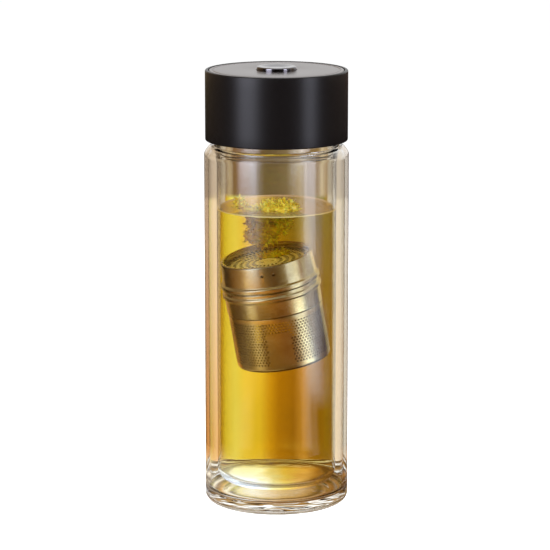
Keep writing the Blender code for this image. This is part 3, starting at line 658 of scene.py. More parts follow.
def wrapped(rows: int, sides: int) -> list[tuple[int, ...]]:
    """Return the quads between rows of points, each of which closes on itself.

    Args:
        rows: How many rows there are.
        sides: How many points each has.

    Returns:
        The numbers of each quad's points.
    """
    faces = []
    for low in range(0, (rows - 1) * sides, sides):
        for side in range(sides):
            after = (side + 1) % sides
            high = low + sides
            faces.append((low + side, low + after, high + after, high + side))
    return faces


def turned_mesh(
    name: str, outline: Sequence[Point2], segments: int,
    radial: Callable[[float, float, float], float] = lambda angle, radius, height: 0.0,
) -> Mesh:
    """Spin a closed outline round Z into one closed mesh.

    Args:
        name: The mesh's name.
        outline: Radius and height of each point, in millimetres.
        segments: Steps round the axis.
        radial: Gives how far a point moves outwards, from its angle, radius and height.

    Returns:
        The mesh, in metres.
    """
    verts: list[Corner] = []
    rows: list[list[int]] = []
    for radius, height in outline:
        if radius < 1e-6:
            rows.append([len(verts)] * segments)
            verts.append((0.0, 0.0, height * MM))
            continue
        rows.append(list(range(len(verts), len(verts) + segments)))
        for step in range(segments):
            angle = FULL_TURN * step / segments
            reach = radius + radial(angle, radius, height)
            verts.append((reach * math.cos(angle) * MM, reach * math.sin(angle) * MM, height * MM))
    faces = []
    for low, high in zip(rows, rows[1:] + rows[:1]):
        if low[0] == low[-1] and high[0] == high[-1]:
            continue
        for step in range(segments):
            after = (step + 1) % segments
            ring = [low[step], low[after], high[after], high[step]]
            face = [v for i, v in enumerate(ring) if v != ring[i - 1]]
            if len(face) > 2:
                faces.append(face)
    return outward(new_mesh(name, verts, faces))


def seat(
    name: str, mesh: Mesh, material: Material, part: Part, slot: str = "", *nodes: str,
    place: Matrix | None = None, sharp: float = SHARP_ANGLE,
    lining: tuple[Material, FaceTest] | None = None,
) -> Object:
    """Turn a mesh into a smooth-shaded piece at the origin, seat it on a body and report it.

    Args:
        name: The piece's name.
        mesh: The mesh, in metres.
        material: Its finish.
        part: The body that carries it.
        slot: The record's material slot; not used.
        *nodes: CAD nodes that it stands for.
        place: Where the mesh goes in the frame.
        sharp: Edges that turn by more than this stay sharp, in radians.
        lining: A second finish, for faces whose middle passes a test of radius and height in mm.

    Returns:
        The piece.
    """
    inner = [
        lining is not None and lining[1](face.center.xy.length / MM, face.center.z / MM)
        for face in mesh.polygons
    ]
    if place is not None:
        mesh.transform(place)
    mesh.name = name
    mesh.shade_smooth()
    mesh.set_sharp_from_angle(angle=sharp)
    mesh.materials.clear()
    mesh.materials.append(material)
    if lining is not None:
        mesh.materials.append(lining[0])
        mesh.polygons.foreach_set("material_index", [int(flag) for flag in inner])
    piece = linked(name, mesh)
    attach(piece, part.value)
    if nodes:
        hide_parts(*nodes)
    log.info("%s rides on %s, %d faces", name, part.value, len(mesh.polygons))
    return piece


@dataclass(frozen=True)
class Thread:
    """A right-hand thread ridge on a turned wall, in millimetres; one of negative depth is inside."""

    wall: float
    start: float
    lead: float
    turns: float
    width: float
    depth: float

    def rows(self, outline: Sequence[Point2], step: float = 0.2) -> list[Point2]:
        """Add rows of points to an outline's wall where the ridge stands.

        Args:
            outline: Radius and height of each point.
            step: Height between rows.

        Returns:
            The outline with the rows in it.
        """
        low = self.start - self.width
        count = round((self.lead * self.turns + 2 * self.width) / step)
        heights = [low + step * index for index in range(count + 1)]
        result: list[Point2] = []
        for (r0, z0), (r1, z1) in zip(outline, list(outline[1:]) + [outline[0]]):
            result.append((r0, z0))
            if max(abs(r0 - self.wall), abs(r1 - self.wall)) <= 0.01:
                inside = [height for height in heights if min(z0, z1) < height < max(z0, z1)]
                result.extend((self.wall, height) for height in sorted(inside, reverse=z1 < z0))
        return result

    def rise(self, angle: float, radius: float, height: float) -> float:
        """Return how far the ridge moves a point of the wall outwards.

        Args:
            angle: The point's angle round the axis, in radians.
            radius: Its radius.
            height: Its height.

        Returns:
            The distance in millimetres.
        """
        if abs(radius - self.wall) > 0.01:
            return 0.0
        best = 0.0
        turn = angle / FULL_TURN
        while turn <= self.turns:
            run = min(1.0, turn / 0.12, (self.turns - turn) / 0.12)
            off = abs(height - self.start - self.lead * turn)
            share = min(1.0, max(0.0, (self.width / 2 - off) / (self.width / 4)))
            best = max(best, run * share)
            turn += 1.0
        return best * self.depth

    def turned(self, name: str, outline: Sequence[Point2], segments: int) -> Mesh:
        """Return the turned mesh of an outline with the ridge on its wall."""
        return turned_mesh(name, self.rows(outline), segments, self.rise)


# Geometry Nodes


def new_group(name: str, inputs: dict[str, str]) -> tuple[NodeTree, NodeOutputs]:
    """Start a Geometry Nodes tree.

    Args:
        name: The tree's name.
        inputs: The kind of each input beside the geometry, by its name.

    Returns:
        The tree, and what its inputs give.
    """
    tree = bpy.data.node_groups.new(name, "GeometryNodeTree")
    tree.interface.new_socket("Geometry", in_out="OUTPUT", socket_type="NodeSocketGeometry")
    for label, kind in {"Geometry": "Geometry", **inputs}.items():
        tree.interface.new_socket(label, in_out="INPUT", socket_type="NodeSocket" + kind)
    return tree, add_node(tree, "NodeGroupInput").outputs


def close_group(tree: NodeTree, geometry: Source, material: Material) -> NodeTree:
    """Give a tree's geometry its finish and lead it to the output.

    Args:
        tree: The Geometry Nodes tree.
        geometry: What it makes.
        material: The finish.

    Returns:
        The tree.
    """
    done = add_node(tree, "GeometryNodeSetMaterial", {"Geometry": geometry, "Material": material})
    add_node(tree, "NodeGroupOutput", [done])
    return tree


def ring_nodes(name: str, material: Material) -> NodeTree:
    """Return a Geometry Nodes tree that sets cells of sheet side by side round an axis.

    Args:
        name: The tree's name.
        material: The finish of the sheet.

    Returns:
        The tree, with inputs Punched, Blank, Columns, Rows, Row Height, Base, the height of the
        first row's middle, Full, the rows from which the pattern runs all the way round, and
        Seam; below those rows, cells whose sine is below Seam stay blank.
    """
    tree, given = new_group(name, {
        "Punched": "Object", "Blank": "Object", "Columns": "Int", "Rows": "Int", "Full": "Int",
        "Row Height": "Float", "Base": "Float", "Seam": "Float",
    })
    columns = given["Columns"]
    total = add_node(tree, "ShaderNodeMath", [columns, given["Rows"]], operation="MULTIPLY")
    points = add_node(tree, "GeometryNodeMeshLine", {"Count": total})
    index = add_node(tree, "GeometryNodeInputIndex")
    middle = add_node(tree, "ShaderNodeMath", [index, 0.5], operation="ADD")
    turns = add_node(tree, "ShaderNodeMath", [middle, columns], operation="DIVIDE")
    row = add_node(tree, "ShaderNodeMath", [turns], operation="FLOOR")
    staggered = add_node(tree, "ShaderNodeMath", [row, 0.5, index], operation="MULTIPLY_ADD")
    angle = add_node(tree, "ShaderNodeMath", [staggered, columns], operation="DIVIDE")
    radians = add_node(tree, "ShaderNodeMath", [angle, FULL_TURN], operation="MULTIPLY")
    height = add_node(tree, "ShaderNodeMath", [
        row, given["Row Height"], given["Base"],
    ], operation="MULTIPLY_ADD")
    spot = add_node(tree, "ShaderNodeCombineXYZ", {"Z": height})
    facing = add_node(tree, "ShaderNodeCombineXYZ", {"Z": radians})
    laid = add_node(tree, "GeometryNodeSetPosition", {"Geometry": points, "Position": spot})
    sine = add_node(tree, "ShaderNodeMath", [radians], operation="SINE")
    upper = add_node(tree, "ShaderNodeMath", [row, given["Full"]], operation="GREATER_THAN")
    lifted = add_node(tree, "ShaderNodeMath", [upper, 2.0, sine], operation="MULTIPLY_ADD")
    joined = add_node(tree, "GeometryNodeJoinGeometry")
    for label, test in (("Punched", "GREATER_THAN"), ("Blank", "LESS_THAN")):
        cell = add_node(tree, "GeometryNodeObjectInfo", [given[label]]).outputs["Geometry"]
        chosen = add_node(tree, "ShaderNodeMath", [lifted, given["Seam"]], operation=test)
        placed = add_node(tree, "GeometryNodeInstanceOnPoints", {
            "Points": laid, "Instance": cell, "Selection": chosen, "Rotation": facing,
        })
        tree.links.new(placed.outputs[0], joined.inputs[0])
    tree.links.new(given["Geometry"], joined.inputs[0])
    real = add_node(tree, "GeometryNodeRealizeInstances", [joined])
    welded = add_node(tree, "GeometryNodeMergeByDistance", {"Geometry": real, "Distance": 0.01 * MM})
    return close_group(tree, welded, material)


def scatter_nodes(name: str, material: Material) -> NodeTree:
    """Return a Geometry Nodes tree that strews copies of one blade over a surface.

    Args:
        name: The tree's name.
        material: The finish of blades and surface.

    Returns:
        The tree, with inputs Blade, Density, Smallest, Largest and Seed.
    """
    tree, given = new_group(name, {
        "Blade": "Object", "Density": "Float", "Smallest": "Float", "Largest": "Float", "Seed": "Int",
    })
    spots = add_node(tree, "GeometryNodeDistributePointsOnFaces", {
        "Mesh": given["Geometry"], "Density": given["Density"], "Seed": given["Seed"],
    })
    lean = add_node(tree, "FunctionNodeRandomValue", {
        0: (-1.0, -1.0, -math.pi), 1: (1.0, 1.0, math.pi), "Seed": given["Seed"],
    }, data_type="FLOAT_VECTOR")
    facing = add_node(tree, "FunctionNodeRotateRotation", {
        "Rotation": spots.outputs["Rotation"], "Rotate By": lean,
    }, rotation_space="LOCAL")
    size = add_node(tree, "FunctionNodeRandomValue", {
        2: given["Smallest"], 3: given["Largest"], "Seed": given["Seed"],
    })
    blade = add_node(tree, "GeometryNodeObjectInfo", [given["Blade"]]).outputs["Geometry"]
    placed = add_node(tree, "GeometryNodeInstanceOnPoints", {
        "Points": spots, "Instance": blade, "Rotation": facing, "Scale": size.outputs[1],
    })
    both = add_node(tree, "GeometryNodeJoinGeometry", [placed])
    tree.links.new(given["Geometry"], both.inputs[0])
    return close_group(tree, add_node(tree, "GeometryNodeRealizeInstances", [both]), material)


def slot_nodes(name: str, material: Material) -> NodeTree:
    """Return a Geometry Nodes tree that cuts a cutter out of a plate at each of its points.

    Args:
        name: The tree's name.
        material: The finish of the plate.

    Returns:
        The tree, with inputs Plate and Cutter; the object's own points say where to cut.
    """
    tree, given = new_group(name, {"Plate": "Object", "Cutter": "Object"})
    spot = add_node(tree, "GeometryNodeInputPosition")
    flat = add_node(tree, "ShaderNodeVectorMath", [spot, (1.0, 1.0, 0.0)], operation="MULTIPLY")
    facing = add_node(
        tree, "FunctionNodeAlignRotationToVector", {"Vector": flat}, axis="X", pivot_axis="Z",
    )
    cutter = add_node(tree, "GeometryNodeObjectInfo", [given["Cutter"]]).outputs["Geometry"]
    plate = add_node(tree, "GeometryNodeObjectInfo", [given["Plate"]]).outputs["Geometry"]
    placed = add_node(tree, "GeometryNodeInstanceOnPoints", {
        "Points": given["Geometry"], "Instance": cutter, "Rotation": facing,
    })
    tools = add_node(tree, "GeometryNodeRealizeInstances", [placed])
    cut = add_node(tree, "GeometryNodeMeshBoolean", {
        "Mesh 1": plate, "Mesh 2": tools,
    }, operation="DIFFERENCE", solver="EXACT")
    return close_group(tree, cut, material)


def evaluated(base: Object) -> Mesh:
    """Return the plain mesh that an object's modifiers make, and remove the object.

    Args:
        base: The object.

    Returns:
        The mesh.
    """
    bpy.context.view_layer.update()
    shown = base.evaluated_get(bpy.context.evaluated_depsgraph_get())
    result = bpy.data.meshes.new_from_object(shown)
    bpy.data.objects.remove(base)
    return result


def grown(mesh: Mesh, tree: NodeTree, inputs: dict[str, object]) -> Mesh:
    """Run a Geometry Nodes tree on a mesh and return the plain mesh that it makes.

    Args:
        mesh: The mesh that it starts from.
        tree: The node tree.
        inputs: Values of the tree's inputs by their names; helper objects are removed afterwards.

    Returns:
        The evaluated mesh.
    """
    base = linked(mesh.name, mesh)
    modifier = base.modifiers.new(tree.name, "NODES")
    modifier.node_group = tree
    sockets = {
        item.name: item.identifier
        for item in tree.interface.items_tree
        if item.item_type == "SOCKET" and item.in_out == "INPUT"
    }
    for name, value in inputs.items():
        modifier[sockets[name]] = value
    result = evaluated(base)
    for value in inputs.values():
        if isinstance(value, Object):
            bpy.data.objects.remove(value)
    return result


# Sub-assemblies


@dataclass
class DoubleWallGlass:
    """Outer blank with its thick base, and inner blank with the threaded neck, in millimetres."""

    glass: Material
    outer_radius: float = 33.0
    outer_wall: float = 1.8
    outer_base: float = 5.2
    heel_round: float = 3.4
    dish_radius: float = 23.0
    dish_depth: float = 0.5
    shoulder: float = 166.2
    shoulder_round: float = 3.6
    shoulder_fall: float = 3.4
    shoulder_width: float = 2.6
    bore: float = 26.2
    inner_wall: float = 1.2
    floor_underside: float = 9.6
    floor: float = 11.8
    floor_round: float = 4.5
    neck_radius: float = 28.1
    mouth: float = 184.5
    thread: Thread = Thread(wall=28.1, start=172.3, lead=5.0, turns=1.25, width=1.6, depth=1.0)
    segments: int = 192

    def build_outer(self) -> None:
        """Build the outer blank, in place."""
        inside = self.outer_radius - self.outer_wall
        rim = self.neck_radius + 0.3
        under = self.shoulder - self.outer_wall
        outline = rounded_outline((
            (0.0, self.dish_depth, 0.0),
            (self.dish_radius, self.dish_depth, 2.0),
            (self.dish_radius + 2.0, 0.0, 2.0),
            (self.outer_radius, 0.0, self.heel_round),
            (self.outer_radius, self.shoulder - self.shoulder_fall, self.shoulder_round),
            (self.outer_radius - self.shoulder_width, self.shoulder, self.shoulder_round),
            (rim, self.shoulder, 0.4),
            (rim, under, 0.4),
            (inside - self.shoulder_width + 0.4, under, 2.4),
            (inside, self.shoulder - self.shoulder_fall - 0.9, 2.4),
            (inside, self.outer_base, self.heel_round),
            (0.0, self.outer_base, 0.0),
        ), steps=8)
        mesh = turned_mesh("outer_blank", outline, self.segments)
        seat("outer_blank", mesh, self.glass, Part.TUMBLER, "clear_glass", "outer_glass")

    def build_inner(self) -> None:
        """Build the inner blank with its neck and thread, in place."""
        inner = self.bore + self.inner_wall
        foot = self.shoulder - self.outer_wall
        lip = (self.neck_radius - self.bore) / 2.2
        outline = rounded_outline((
            (0.0, self.floor_underside, 0.0),
            (inner, self.floor_underside, self.floor_round + self.inner_wall),
            (inner, foot - 2.4, 1.5),
            (self.neck_radius, foot - 0.4, 1.2),
            (self.neck_radius, self.mouth, lip),
            (self.bore, self.mouth, lip),
            (self.bore, self.floor, self.floor_round),
            (0.0, self.floor, 0.0),
        ), steps=8)
        mesh = self.thread.turned("inner_blank", outline, self.segments)
        seat("inner_blank", mesh, self.glass, Part.TUMBLER, "clear_glass", "inner_glass")

    def build(self) -> None:
        """Build both blanks."""
        self.build_outer()
        self.build_inner()


@dataclass
class TeaFill:
    """The tea in the bore: a body of liquid with a rippled top and a meniscus, in millimetres."""

    tea: Material
    surface: Material
    radius: float = 27.2
    floor: float = 10.9
    floor_round: float = 5.4
    level: float = 136.8
    meniscus: float = 0.9
    ripple: float = 0.28
    segments: int = 144
    rings: tuple[float, ...] = (
        0.985, 0.965, 0.94, 0.9, 0.85, 0.78, 0.7, 0.6, 0.5, 0.4, 0.3, 0.2, 0.1,
    )

    def build(self) -> None:
        """Build the body of tea, in place."""
        outline = rounded_outline((
            (0.0, self.floor, 0.0),
            (self.radius, self.floor, self.floor_round),
            (self.radius, self.level, 0.0),
        ), steps=8)[:-1]
        outline.append((self.radius, self.level + self.meniscus))
        for share in self.rings:
            radius = self.radius * share
            climb = math.exp(-(self.radius - radius) / 0.9)
            outline.append((radius, self.level + self.meniscus * climb))
        outline.append((0.0, self.level))
        mesh = turned_mesh("tea_body", outline, self.segments)
        for vert in mesh.vertices:
            if vert.co.z > (self.level - 0.5) * MM:
                swell = noise.noise(Vector((vert.co.x, vert.co.y, 0.0)) * 220.0)
                swell += 0.5 * noise.noise(Vector((vert.co.x, vert.co.y, 0.01)) * 520.0)
                fade = min(1.0, (self.radius * MM - vert.co.xy.length) / (3 * MM))
                vert.co.z += swell * self.ripple * 2 * MM * max(0.0, fade)
        top = (self.surface, lambda radius, height: height > self.level - 0.9)
        seat("tea_body", mesh, self.tea, Part.TUMBLER, lining=top)


@dataclass
class ScrewCap:
    """Painted shell with its inset top plate, and the contact plate under it, in millimetres."""

    paint: Material
    plate: Material
    steel: Material
    radius: float = 32.5
    inner: float = 31.3
    skirt_bottom: float = 168.5
    ceiling: float = 198.6
    top: float = 200.6
    top_round: float = 0.9
    skirt_round: float = 1.0
    plate_rim: float = 1.9
    plate_inset: float = 0.15
    plate_thickness: float = 0.7
    hole: float = 9.3
    disc_bore: float = 3.3
    segments: int = 192

    def build_shell(self) -> None:
        """Build the painted shell, in place."""
        edge = self.radius - self.plate_rim + 0.45
        recess = self.top - self.plate_inset - self.plate_thickness - 0.3
        outline = rounded_outline((
            (self.hole, self.ceiling, 0.0),
            (self.inner, self.ceiling, 0.6),
            (self.inner, self.skirt_bottom, 0.3),
            (self.radius, self.skirt_bottom, self.skirt_round),
            (self.radius, self.top, self.top_round),
            (edge, self.top, 0.15),
            (edge, recess, 0.0),
            (self.hole, recess, 0.0),
        ), steps=8)
        mesh = turned_mesh("cap_shell_drawn", finer(outline, 6.0), self.segments)
        seat("cap_shell_drawn", mesh, self.paint, Part.CAP, "black_shell", "cap_shell")

    def build_plate(self) -> None:
        """Build the inset plate with its turned edges, in place."""
        low = self.top - self.plate_inset - self.plate_thickness
        high = self.top - self.plate_inset
        edge = self.radius - self.plate_rim
        outline = rounded_outline((
            (self.hole, low, 0.0),
            (edge, low, 0.0),
            (edge, high, 0.25),
            (edge - 1.2, high, 0.1),
            (edge - 1.45, high - 0.3, 0.0),
            (edge - 1.75, high - 0.3, 0.0),
            (edge - 2.0, high, 0.1),
            (self.hole, high, 0.25),
        ), steps=4)
        mesh = turned_mesh("cap_top_plate", outline, self.segments)
        seat("cap_top_plate", mesh, self.plate, Part.CAP, "black_top", "top_plate")

    def build_disc(self) -> None:
        """Build the contact plate's smooth shape, as large as the CAD's."""
        low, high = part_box("contact_plate")
        outline = rounded_outline((
            (self.disc_bore, low.z / MM, 0.1),
            (high.x / MM, low.z / MM, 0.3),
            (high.x / MM, high.z / MM, 0.2),
            (self.disc_bore, high.z / MM, 0.0),
        ), steps=4)
        mesh = turned_mesh("contact_disc", outline, self.segments)
        seat("contact_disc", mesh, self.steel, Part.CAP, "magnetic_steel", "contact_plate")

    def build(self) -> None:
        """Build the cap's visible pieces."""
        self.build_shell()
        self.build_plate()
        self.build_disc()


@dataclass
class PushButton:
    """Dished button and the spring under it, in millimetres."""

    chrome: Material
    spring_steel: Material
    radius: float = 9.0
    wall: float = 1.3
    top: float = 202.0
    bottom: float = 194.1
    ceiling: float = 200.0
    dish: float = 0.6
    socket: float = 4.8
    socket_depth: float = 4.0
    rod_bore: float = 3.3
    spring_low: float = 189.8
    spring_high: float = 199.7
    spring_turns: int = 5
    steps_per_turn: int = 36
    wire: float = 0.45
    wire_sides: int = 10
    segments: int = 128

    def build_button(self) -> None:
        """Build the button, in place."""
        hollow = self.radius - self.wall
        floor = self.ceiling - self.socket_depth
        outline = rounded_outline((
            (0.0, self.ceiling, 0.0),
            (self.rod_bore, self.ceiling, 0.0),
            (self.rod_bore, floor, 0.0),
            (self.socket, floor, 0.0),
            (self.socket, self.ceiling, 0.0),
            (hollow, self.ceiling, 0.0),
            (hollow, self.bottom, 0.2),
            (self.radius, self.bottom, 0.2),
            (self.radius, self.top, 0.7),
            (hollow - 0.3, self.top, 1.2),
            (self.radius / 3, self.top - self.dish, 4.0),
            (0.0, self.top - self.dish, 0.0),
        ), steps=8)
        mesh = turned_mesh("button_cap", outline, self.segments)
        seat("button_cap", mesh, self.chrome, Part.BUTTON, "chrome", "push_button")

    def build_spring(self) -> None:
        """Build the return spring on a mesh of its own; the real spring shortens as the button goes
        down.
        """
        low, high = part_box("return_spring")
        coil = (high.x - low.x) / 2 / MM - self.wire
        bottom = self.spring_low + self.wire
        rise = self.spring_high - self.wire - bottom
        count = self.spring_turns * self.steps_per_turn
        sides = self.wire_sides
        verts = []
        for step in range(count + 1):
            angle = FULL_TURN * step / self.steps_per_turn
            out = Vector((math.cos(angle), math.sin(angle), 0.0))
            climb = rise / self.spring_turns / FULL_TURN
            run = Vector((-math.sin(angle) * coil, math.cos(angle) * coil, climb)).normalized()
            up = run.cross(out) * -1.0
            centre = out * coil + Vector((0.0, 0.0, bottom + rise * step / count))
            for side in range(sides):
                turn = FULL_TURN * side / sides
                spot = centre + (out * math.cos(turn) + up * math.sin(turn)) * self.wire
                verts.append(spot * MM)
        ends = [tuple(range(start, start + sides)) for start in (0, count * sides)]
        mesh = outward(new_mesh("coil_spring", verts, wrapped(count + 1, sides) + ends))
        piece = seat(
            "coil_spring", mesh, self.spring_steel, Part.CAP, "spring_steel", "return_spring",
        )
        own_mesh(piece)

    def build(self) -> None:
        """Build button and spring."""
        self.build_button()
        self.build_spring()


@dataclass
class TeaInfuser:
    """Perforated cup, collar, screw lid and screen, measured along their axis in millimetres."""

    steel: Material
    screen_steel: Material
    # Dark lining: painted shade in the infuser's hollows, and tea stain as well.
    stain_and_shade: Material
    place: Matrix
    cup_radius: float = 21.2
    sheet: float = 0.5
    cup_height: float = 25.7
    cup_corner: float = 1.6
    tongue: float = 4.0
    collar_radius: float = 21.45
    neck_radius: float = 19.1
    collar_gap: float = 0.3
    collar_bead: float = 7.3
    bead_height: float = 2.8
    bead_out: float = 0.8
    ledge_rise: float = 1.6
    neck_height: float = 8.4
    columns: int = 90
    rows: int = 16
    full_rows: int = 5
    zone_bottom: float = 3.2
    hole_radius: float = 0.5
    seam_degrees: float = 15.0
    lid_bottom: float = 37.7
    bead_top: float = 40.5
    flange_bottom: float = 47.0
    height: float = 50.1
    lid_band: float = 21.2
    lid_top: float = 20.5
    bead_radius: float = 22.25
    rim_inner: float = 19.0
    vent: float = 0.75
    vents_apart: float = 5.2
    vents_down: float = 4.2
    screen_low: float = 46.1
    screen_high: float = 46.7
    screen_radius: float = 19.7
    grip_hole: float = 2.2
    slot_rings: int = 5
    first_ring: float = 6.3
    ring_step: float = 2.85
    slot_step: float = 1.9
    slot_stretch: Point2 = (1.9, 1.15)
    screen_segments: int = 96
    rib_outer: Point2 = (4.9, 4.5)
    rib_inner: Point2 = (3.9, 3.5)
    rib_height: float = 0.25
    segments: int = 180

    def cell(self, name: str, punched: bool, pitch: float, row: float) -> Object:
        """Return one cell of the sheet, with a hole or plain.

        Args:
            name: The helper's name.
            punched: True for a hole in the middle.
            pitch: The cell's width in millimetres.
            row: The cell's height in millimetres.

        Returns:
            A helper object whose faces are a few quads, bent to the cup's radius.
        """
        middle = self.cup_radius - self.sheet / 2
        half, tall, thick = pitch / 2, row / 2, self.sheet / 2
        rim = [(half, 0), (half, tall), (0, tall), (-half, tall),
               (-half, 0), (-half, -tall), (0, -tall), (half, -tall)]
        eighths = [FULL_TURN * step / 8 for step in range(8)]
        hole = [(self.hole_radius * math.cos(a), self.hole_radius * math.sin(a)) for a in eighths]
        faces = []
        for step in range(8):
            after = (step + 1) % 8
            faces.append((step, after, 16 + after, 16 + step))
            faces.append((8 + after, 8 + step, 24 + step, 24 + after))
            faces.append((16 + step, 16 + after, 24 + after, 24 + step))
        if not punched:
            faces = [tuple(range(8)), tuple(reversed(range(8, 16)))]
        bent = []
        for x, side, z in [
            (x, side, z) for ring in ((rim, hole) if punched else (rim,))
            for side in (thick, -thick) for x, z in ring
        ]:
            reach, turn = (middle + side) * MM, x / middle
            bent.append((reach * math.cos(turn), reach * math.sin(turn), z * MM))
        return linked(name, new_mesh(name, bent, faces))

    def build_cup(self) -> None:
        """Build the drawn cup, whose wall is punched sheet rolled into a tube."""
        middle = self.cup_radius - self.sheet / 2
        pitch = FULL_TURN * middle / self.columns
        row = pitch * math.sin(math.radians(60.0))
        zone_top = self.zone_bottom + row * self.rows
        inside = self.cup_radius - self.sheet
        tongue = self.collar_radius - self.sheet - 0.3
        tongue_top = self.cup_height + self.tongue
        lower = rounded_outline((
            (self.cup_radius, self.zone_bottom, 0.0),
            (self.cup_radius, 0.0, self.cup_corner),
            (0.0, 0.0, 0.0),
            (0.0, self.sheet, 0.0),
            (inside, self.sheet, self.cup_corner - self.sheet),
            (inside, self.zone_bottom, 0.0),
        ), steps=6)
        upper = rounded_outline((
            (inside, zone_top, 0.0),
            (inside, self.cup_height - self.sheet, 0.0),
            (tongue - self.sheet, self.cup_height - self.sheet, 0.0),
            (tongue - self.sheet, tongue_top, 0.0),
            (tongue, tongue_top, 0.0),
            (tongue, self.cup_height, 0.0),
            (self.cup_radius, self.cup_height, 0.3),
            (self.cup_radius, zone_top, 0.0),
        ), steps=4)
        plain = bmesh.new()
        for outline in (lower, upper):
            absorb(plain, turned_mesh("cup_plain", outline, self.segments))
        band = [
            face for face in plain.faces for level in (self.zone_bottom, zone_top)
            if all(abs(vert.co.z / MM - level) < 1e-4 for vert in face.verts)
        ]
        bmesh.ops.delete(plain, geom=band, context="FACES")
        tree = ring_nodes("rolled_sheet", self.steel)
        mesh = outward(grown(baked("cup_plain", plain), tree, {
            "Punched": self.cell("punched_cell", True, pitch, row),
            "Blank": self.cell("blank_cell", False, pitch, row),
            "Columns": self.columns, "Rows": self.rows, "Full": self.rows - self.full_rows,
            "Row Height": row * MM, "Base": (self.zone_bottom + row / 2) * MM,
            "Seam": -math.cos(math.radians(self.seam_degrees)),
        }))
        # The dark lining inside the cup paints the shade seen through its holes, and tea stain as well.
        skin = self.cup_radius - 0.05
        seat(
            "punched_cup", mesh, self.steel, Part.INFUSER, "stainless", "infuser_cup",
            place=self.place,
            lining=(self.stain_and_shade, lambda reach, z: reach < skin and z > self.sheet * 0.5),
        )

    def build_collar(self) -> None:
        """Build the rolled collar with its bead, ledge and neck."""
        radius, neck, sheet = self.collar_radius, self.neck_radius, self.sheet
        low, bead = self.cup_height + self.collar_gap, self.cup_height + self.collar_bead
        bead_top = bead + self.bead_height
        ledge = bead_top + self.ledge_rise
        top = ledge + self.neck_height
        outline = rounded_outline((
            (radius - sheet, low, 0.0),
            (radius, low, 0.2),
            (radius, bead, 0.4),
            (radius + self.bead_out, bead + 0.7, 0.8),
            (radius + self.bead_out, bead_top - 0.7, 0.8),
            (radius, bead_top, 0.4),
            (radius, ledge, 0.5),
            (neck, ledge, 0.3),
            (neck, top, 0.15),
            (neck - sheet, top, 0.15),
            (neck - sheet, ledge - sheet, 0.0),
            (radius - sheet, ledge - sheet, 0.0),
            (radius - sheet, bead_top, 0.0),
            (radius + 0.3, bead_top - 0.7, 0.0),
            (radius + 0.3, bead + 0.7, 0.0),
            (radius - sheet, bead, 0.0),
        ), steps=6)
        thread = Thread(wall=neck, start=42.0, lead=3.0, turns=1.0, width=1.2, depth=0.5)
        mesh = thread.turned("rolled_collar", outline, self.segments)
        seat(
            "rolled_collar", mesh, self.steel, Part.INFUSER, "stainless", "infuser_collar",
            place=self.place,
        )

    def build_lid(self) -> None:
        """Build the lid ring with its bead, tapered band, rolled rim and two vent holes."""
        sheet, inside = self.sheet, self.lid_top - self.sheet
        outline = rounded_outline((
            (self.bead_radius - sheet, self.lid_bottom, 0.0),
            (self.bead_radius, self.lid_bottom + 0.3, 0.5),
            (self.bead_radius, self.bead_top - 0.7, 0.8),
            (self.lid_band, self.bead_top, 0.5),
            (self.lid_top, self.height, 0.7),
            (self.rim_inner, self.height, 0.7),
            (self.rim_inner, self.flange_bottom, 0.15),
            (self.rim_inner + sheet, self.flange_bottom, 0.15),
            (self.rim_inner + sheet, self.height - sheet, 0.0),
            (inside, self.height - sheet, 0.0),
            (inside, self.bead_top - 0.7, 0.0),
            (self.bead_radius - sheet, self.bead_top - 0.93, 0.0),
        ), steps=7)
        thread = Thread(
            wall=inside, start=self.bead_top, lead=3.0, turns=1.0, width=1.2, depth=-0.6,
        )
        ring = linked("screw_lid_ring", thread.turned("lid_ring", outline, self.segments))
        tools = bmesh.new()
        spread = self.vents_apart / self.lid_band / 2
        station = Matrix.Translation(Vector((self.lid_top, 0.0, self.height - self.vents_down)) * MM)
        for side in (-spread, spread):
            heading = Matrix.Rotation(side - math.pi / 2, 4, "Z")
            bmesh.ops.create_cone(
                tools, cap_ends=True, segments=16, radius1=self.vent * MM, radius2=self.vent * MM,
                depth=2.2 * MM, matrix=heading @ station @ Matrix.Rotation(math.pi / 2, 4, "Y"),
            )
        tool = linked("vent_tool", baked("vent_tool", tools))
        cut = ring.modifiers.new("vents", "BOOLEAN")
        set_all(cut, operation="DIFFERENCE", solver="EXACT", object=tool)
        mesh = evaluated(ring)
        bpy.data.objects.remove(tool)
        taper = (self.lid_band - self.lid_top) / (self.height - self.bead_top)

        def hollow(reach: float, z: float) -> bool:
            """Return whether a face is between the rolled rim and the band, out of sight."""
            skin = self.lid_top + taper * (self.height - z)
            return self.rim_inner + 0.2 < reach < skin - 0.1 and z < self.height - 0.2

        # The dark lining in the lid's hollow paints shade there, and tea stain as well.
        seat(
            "screw_lid_ring", mesh, self.steel, Part.LID, "stainless", "infuser_lid_ring",
            place=self.place, lining=(self.stain_and_shade, hollow),
        )

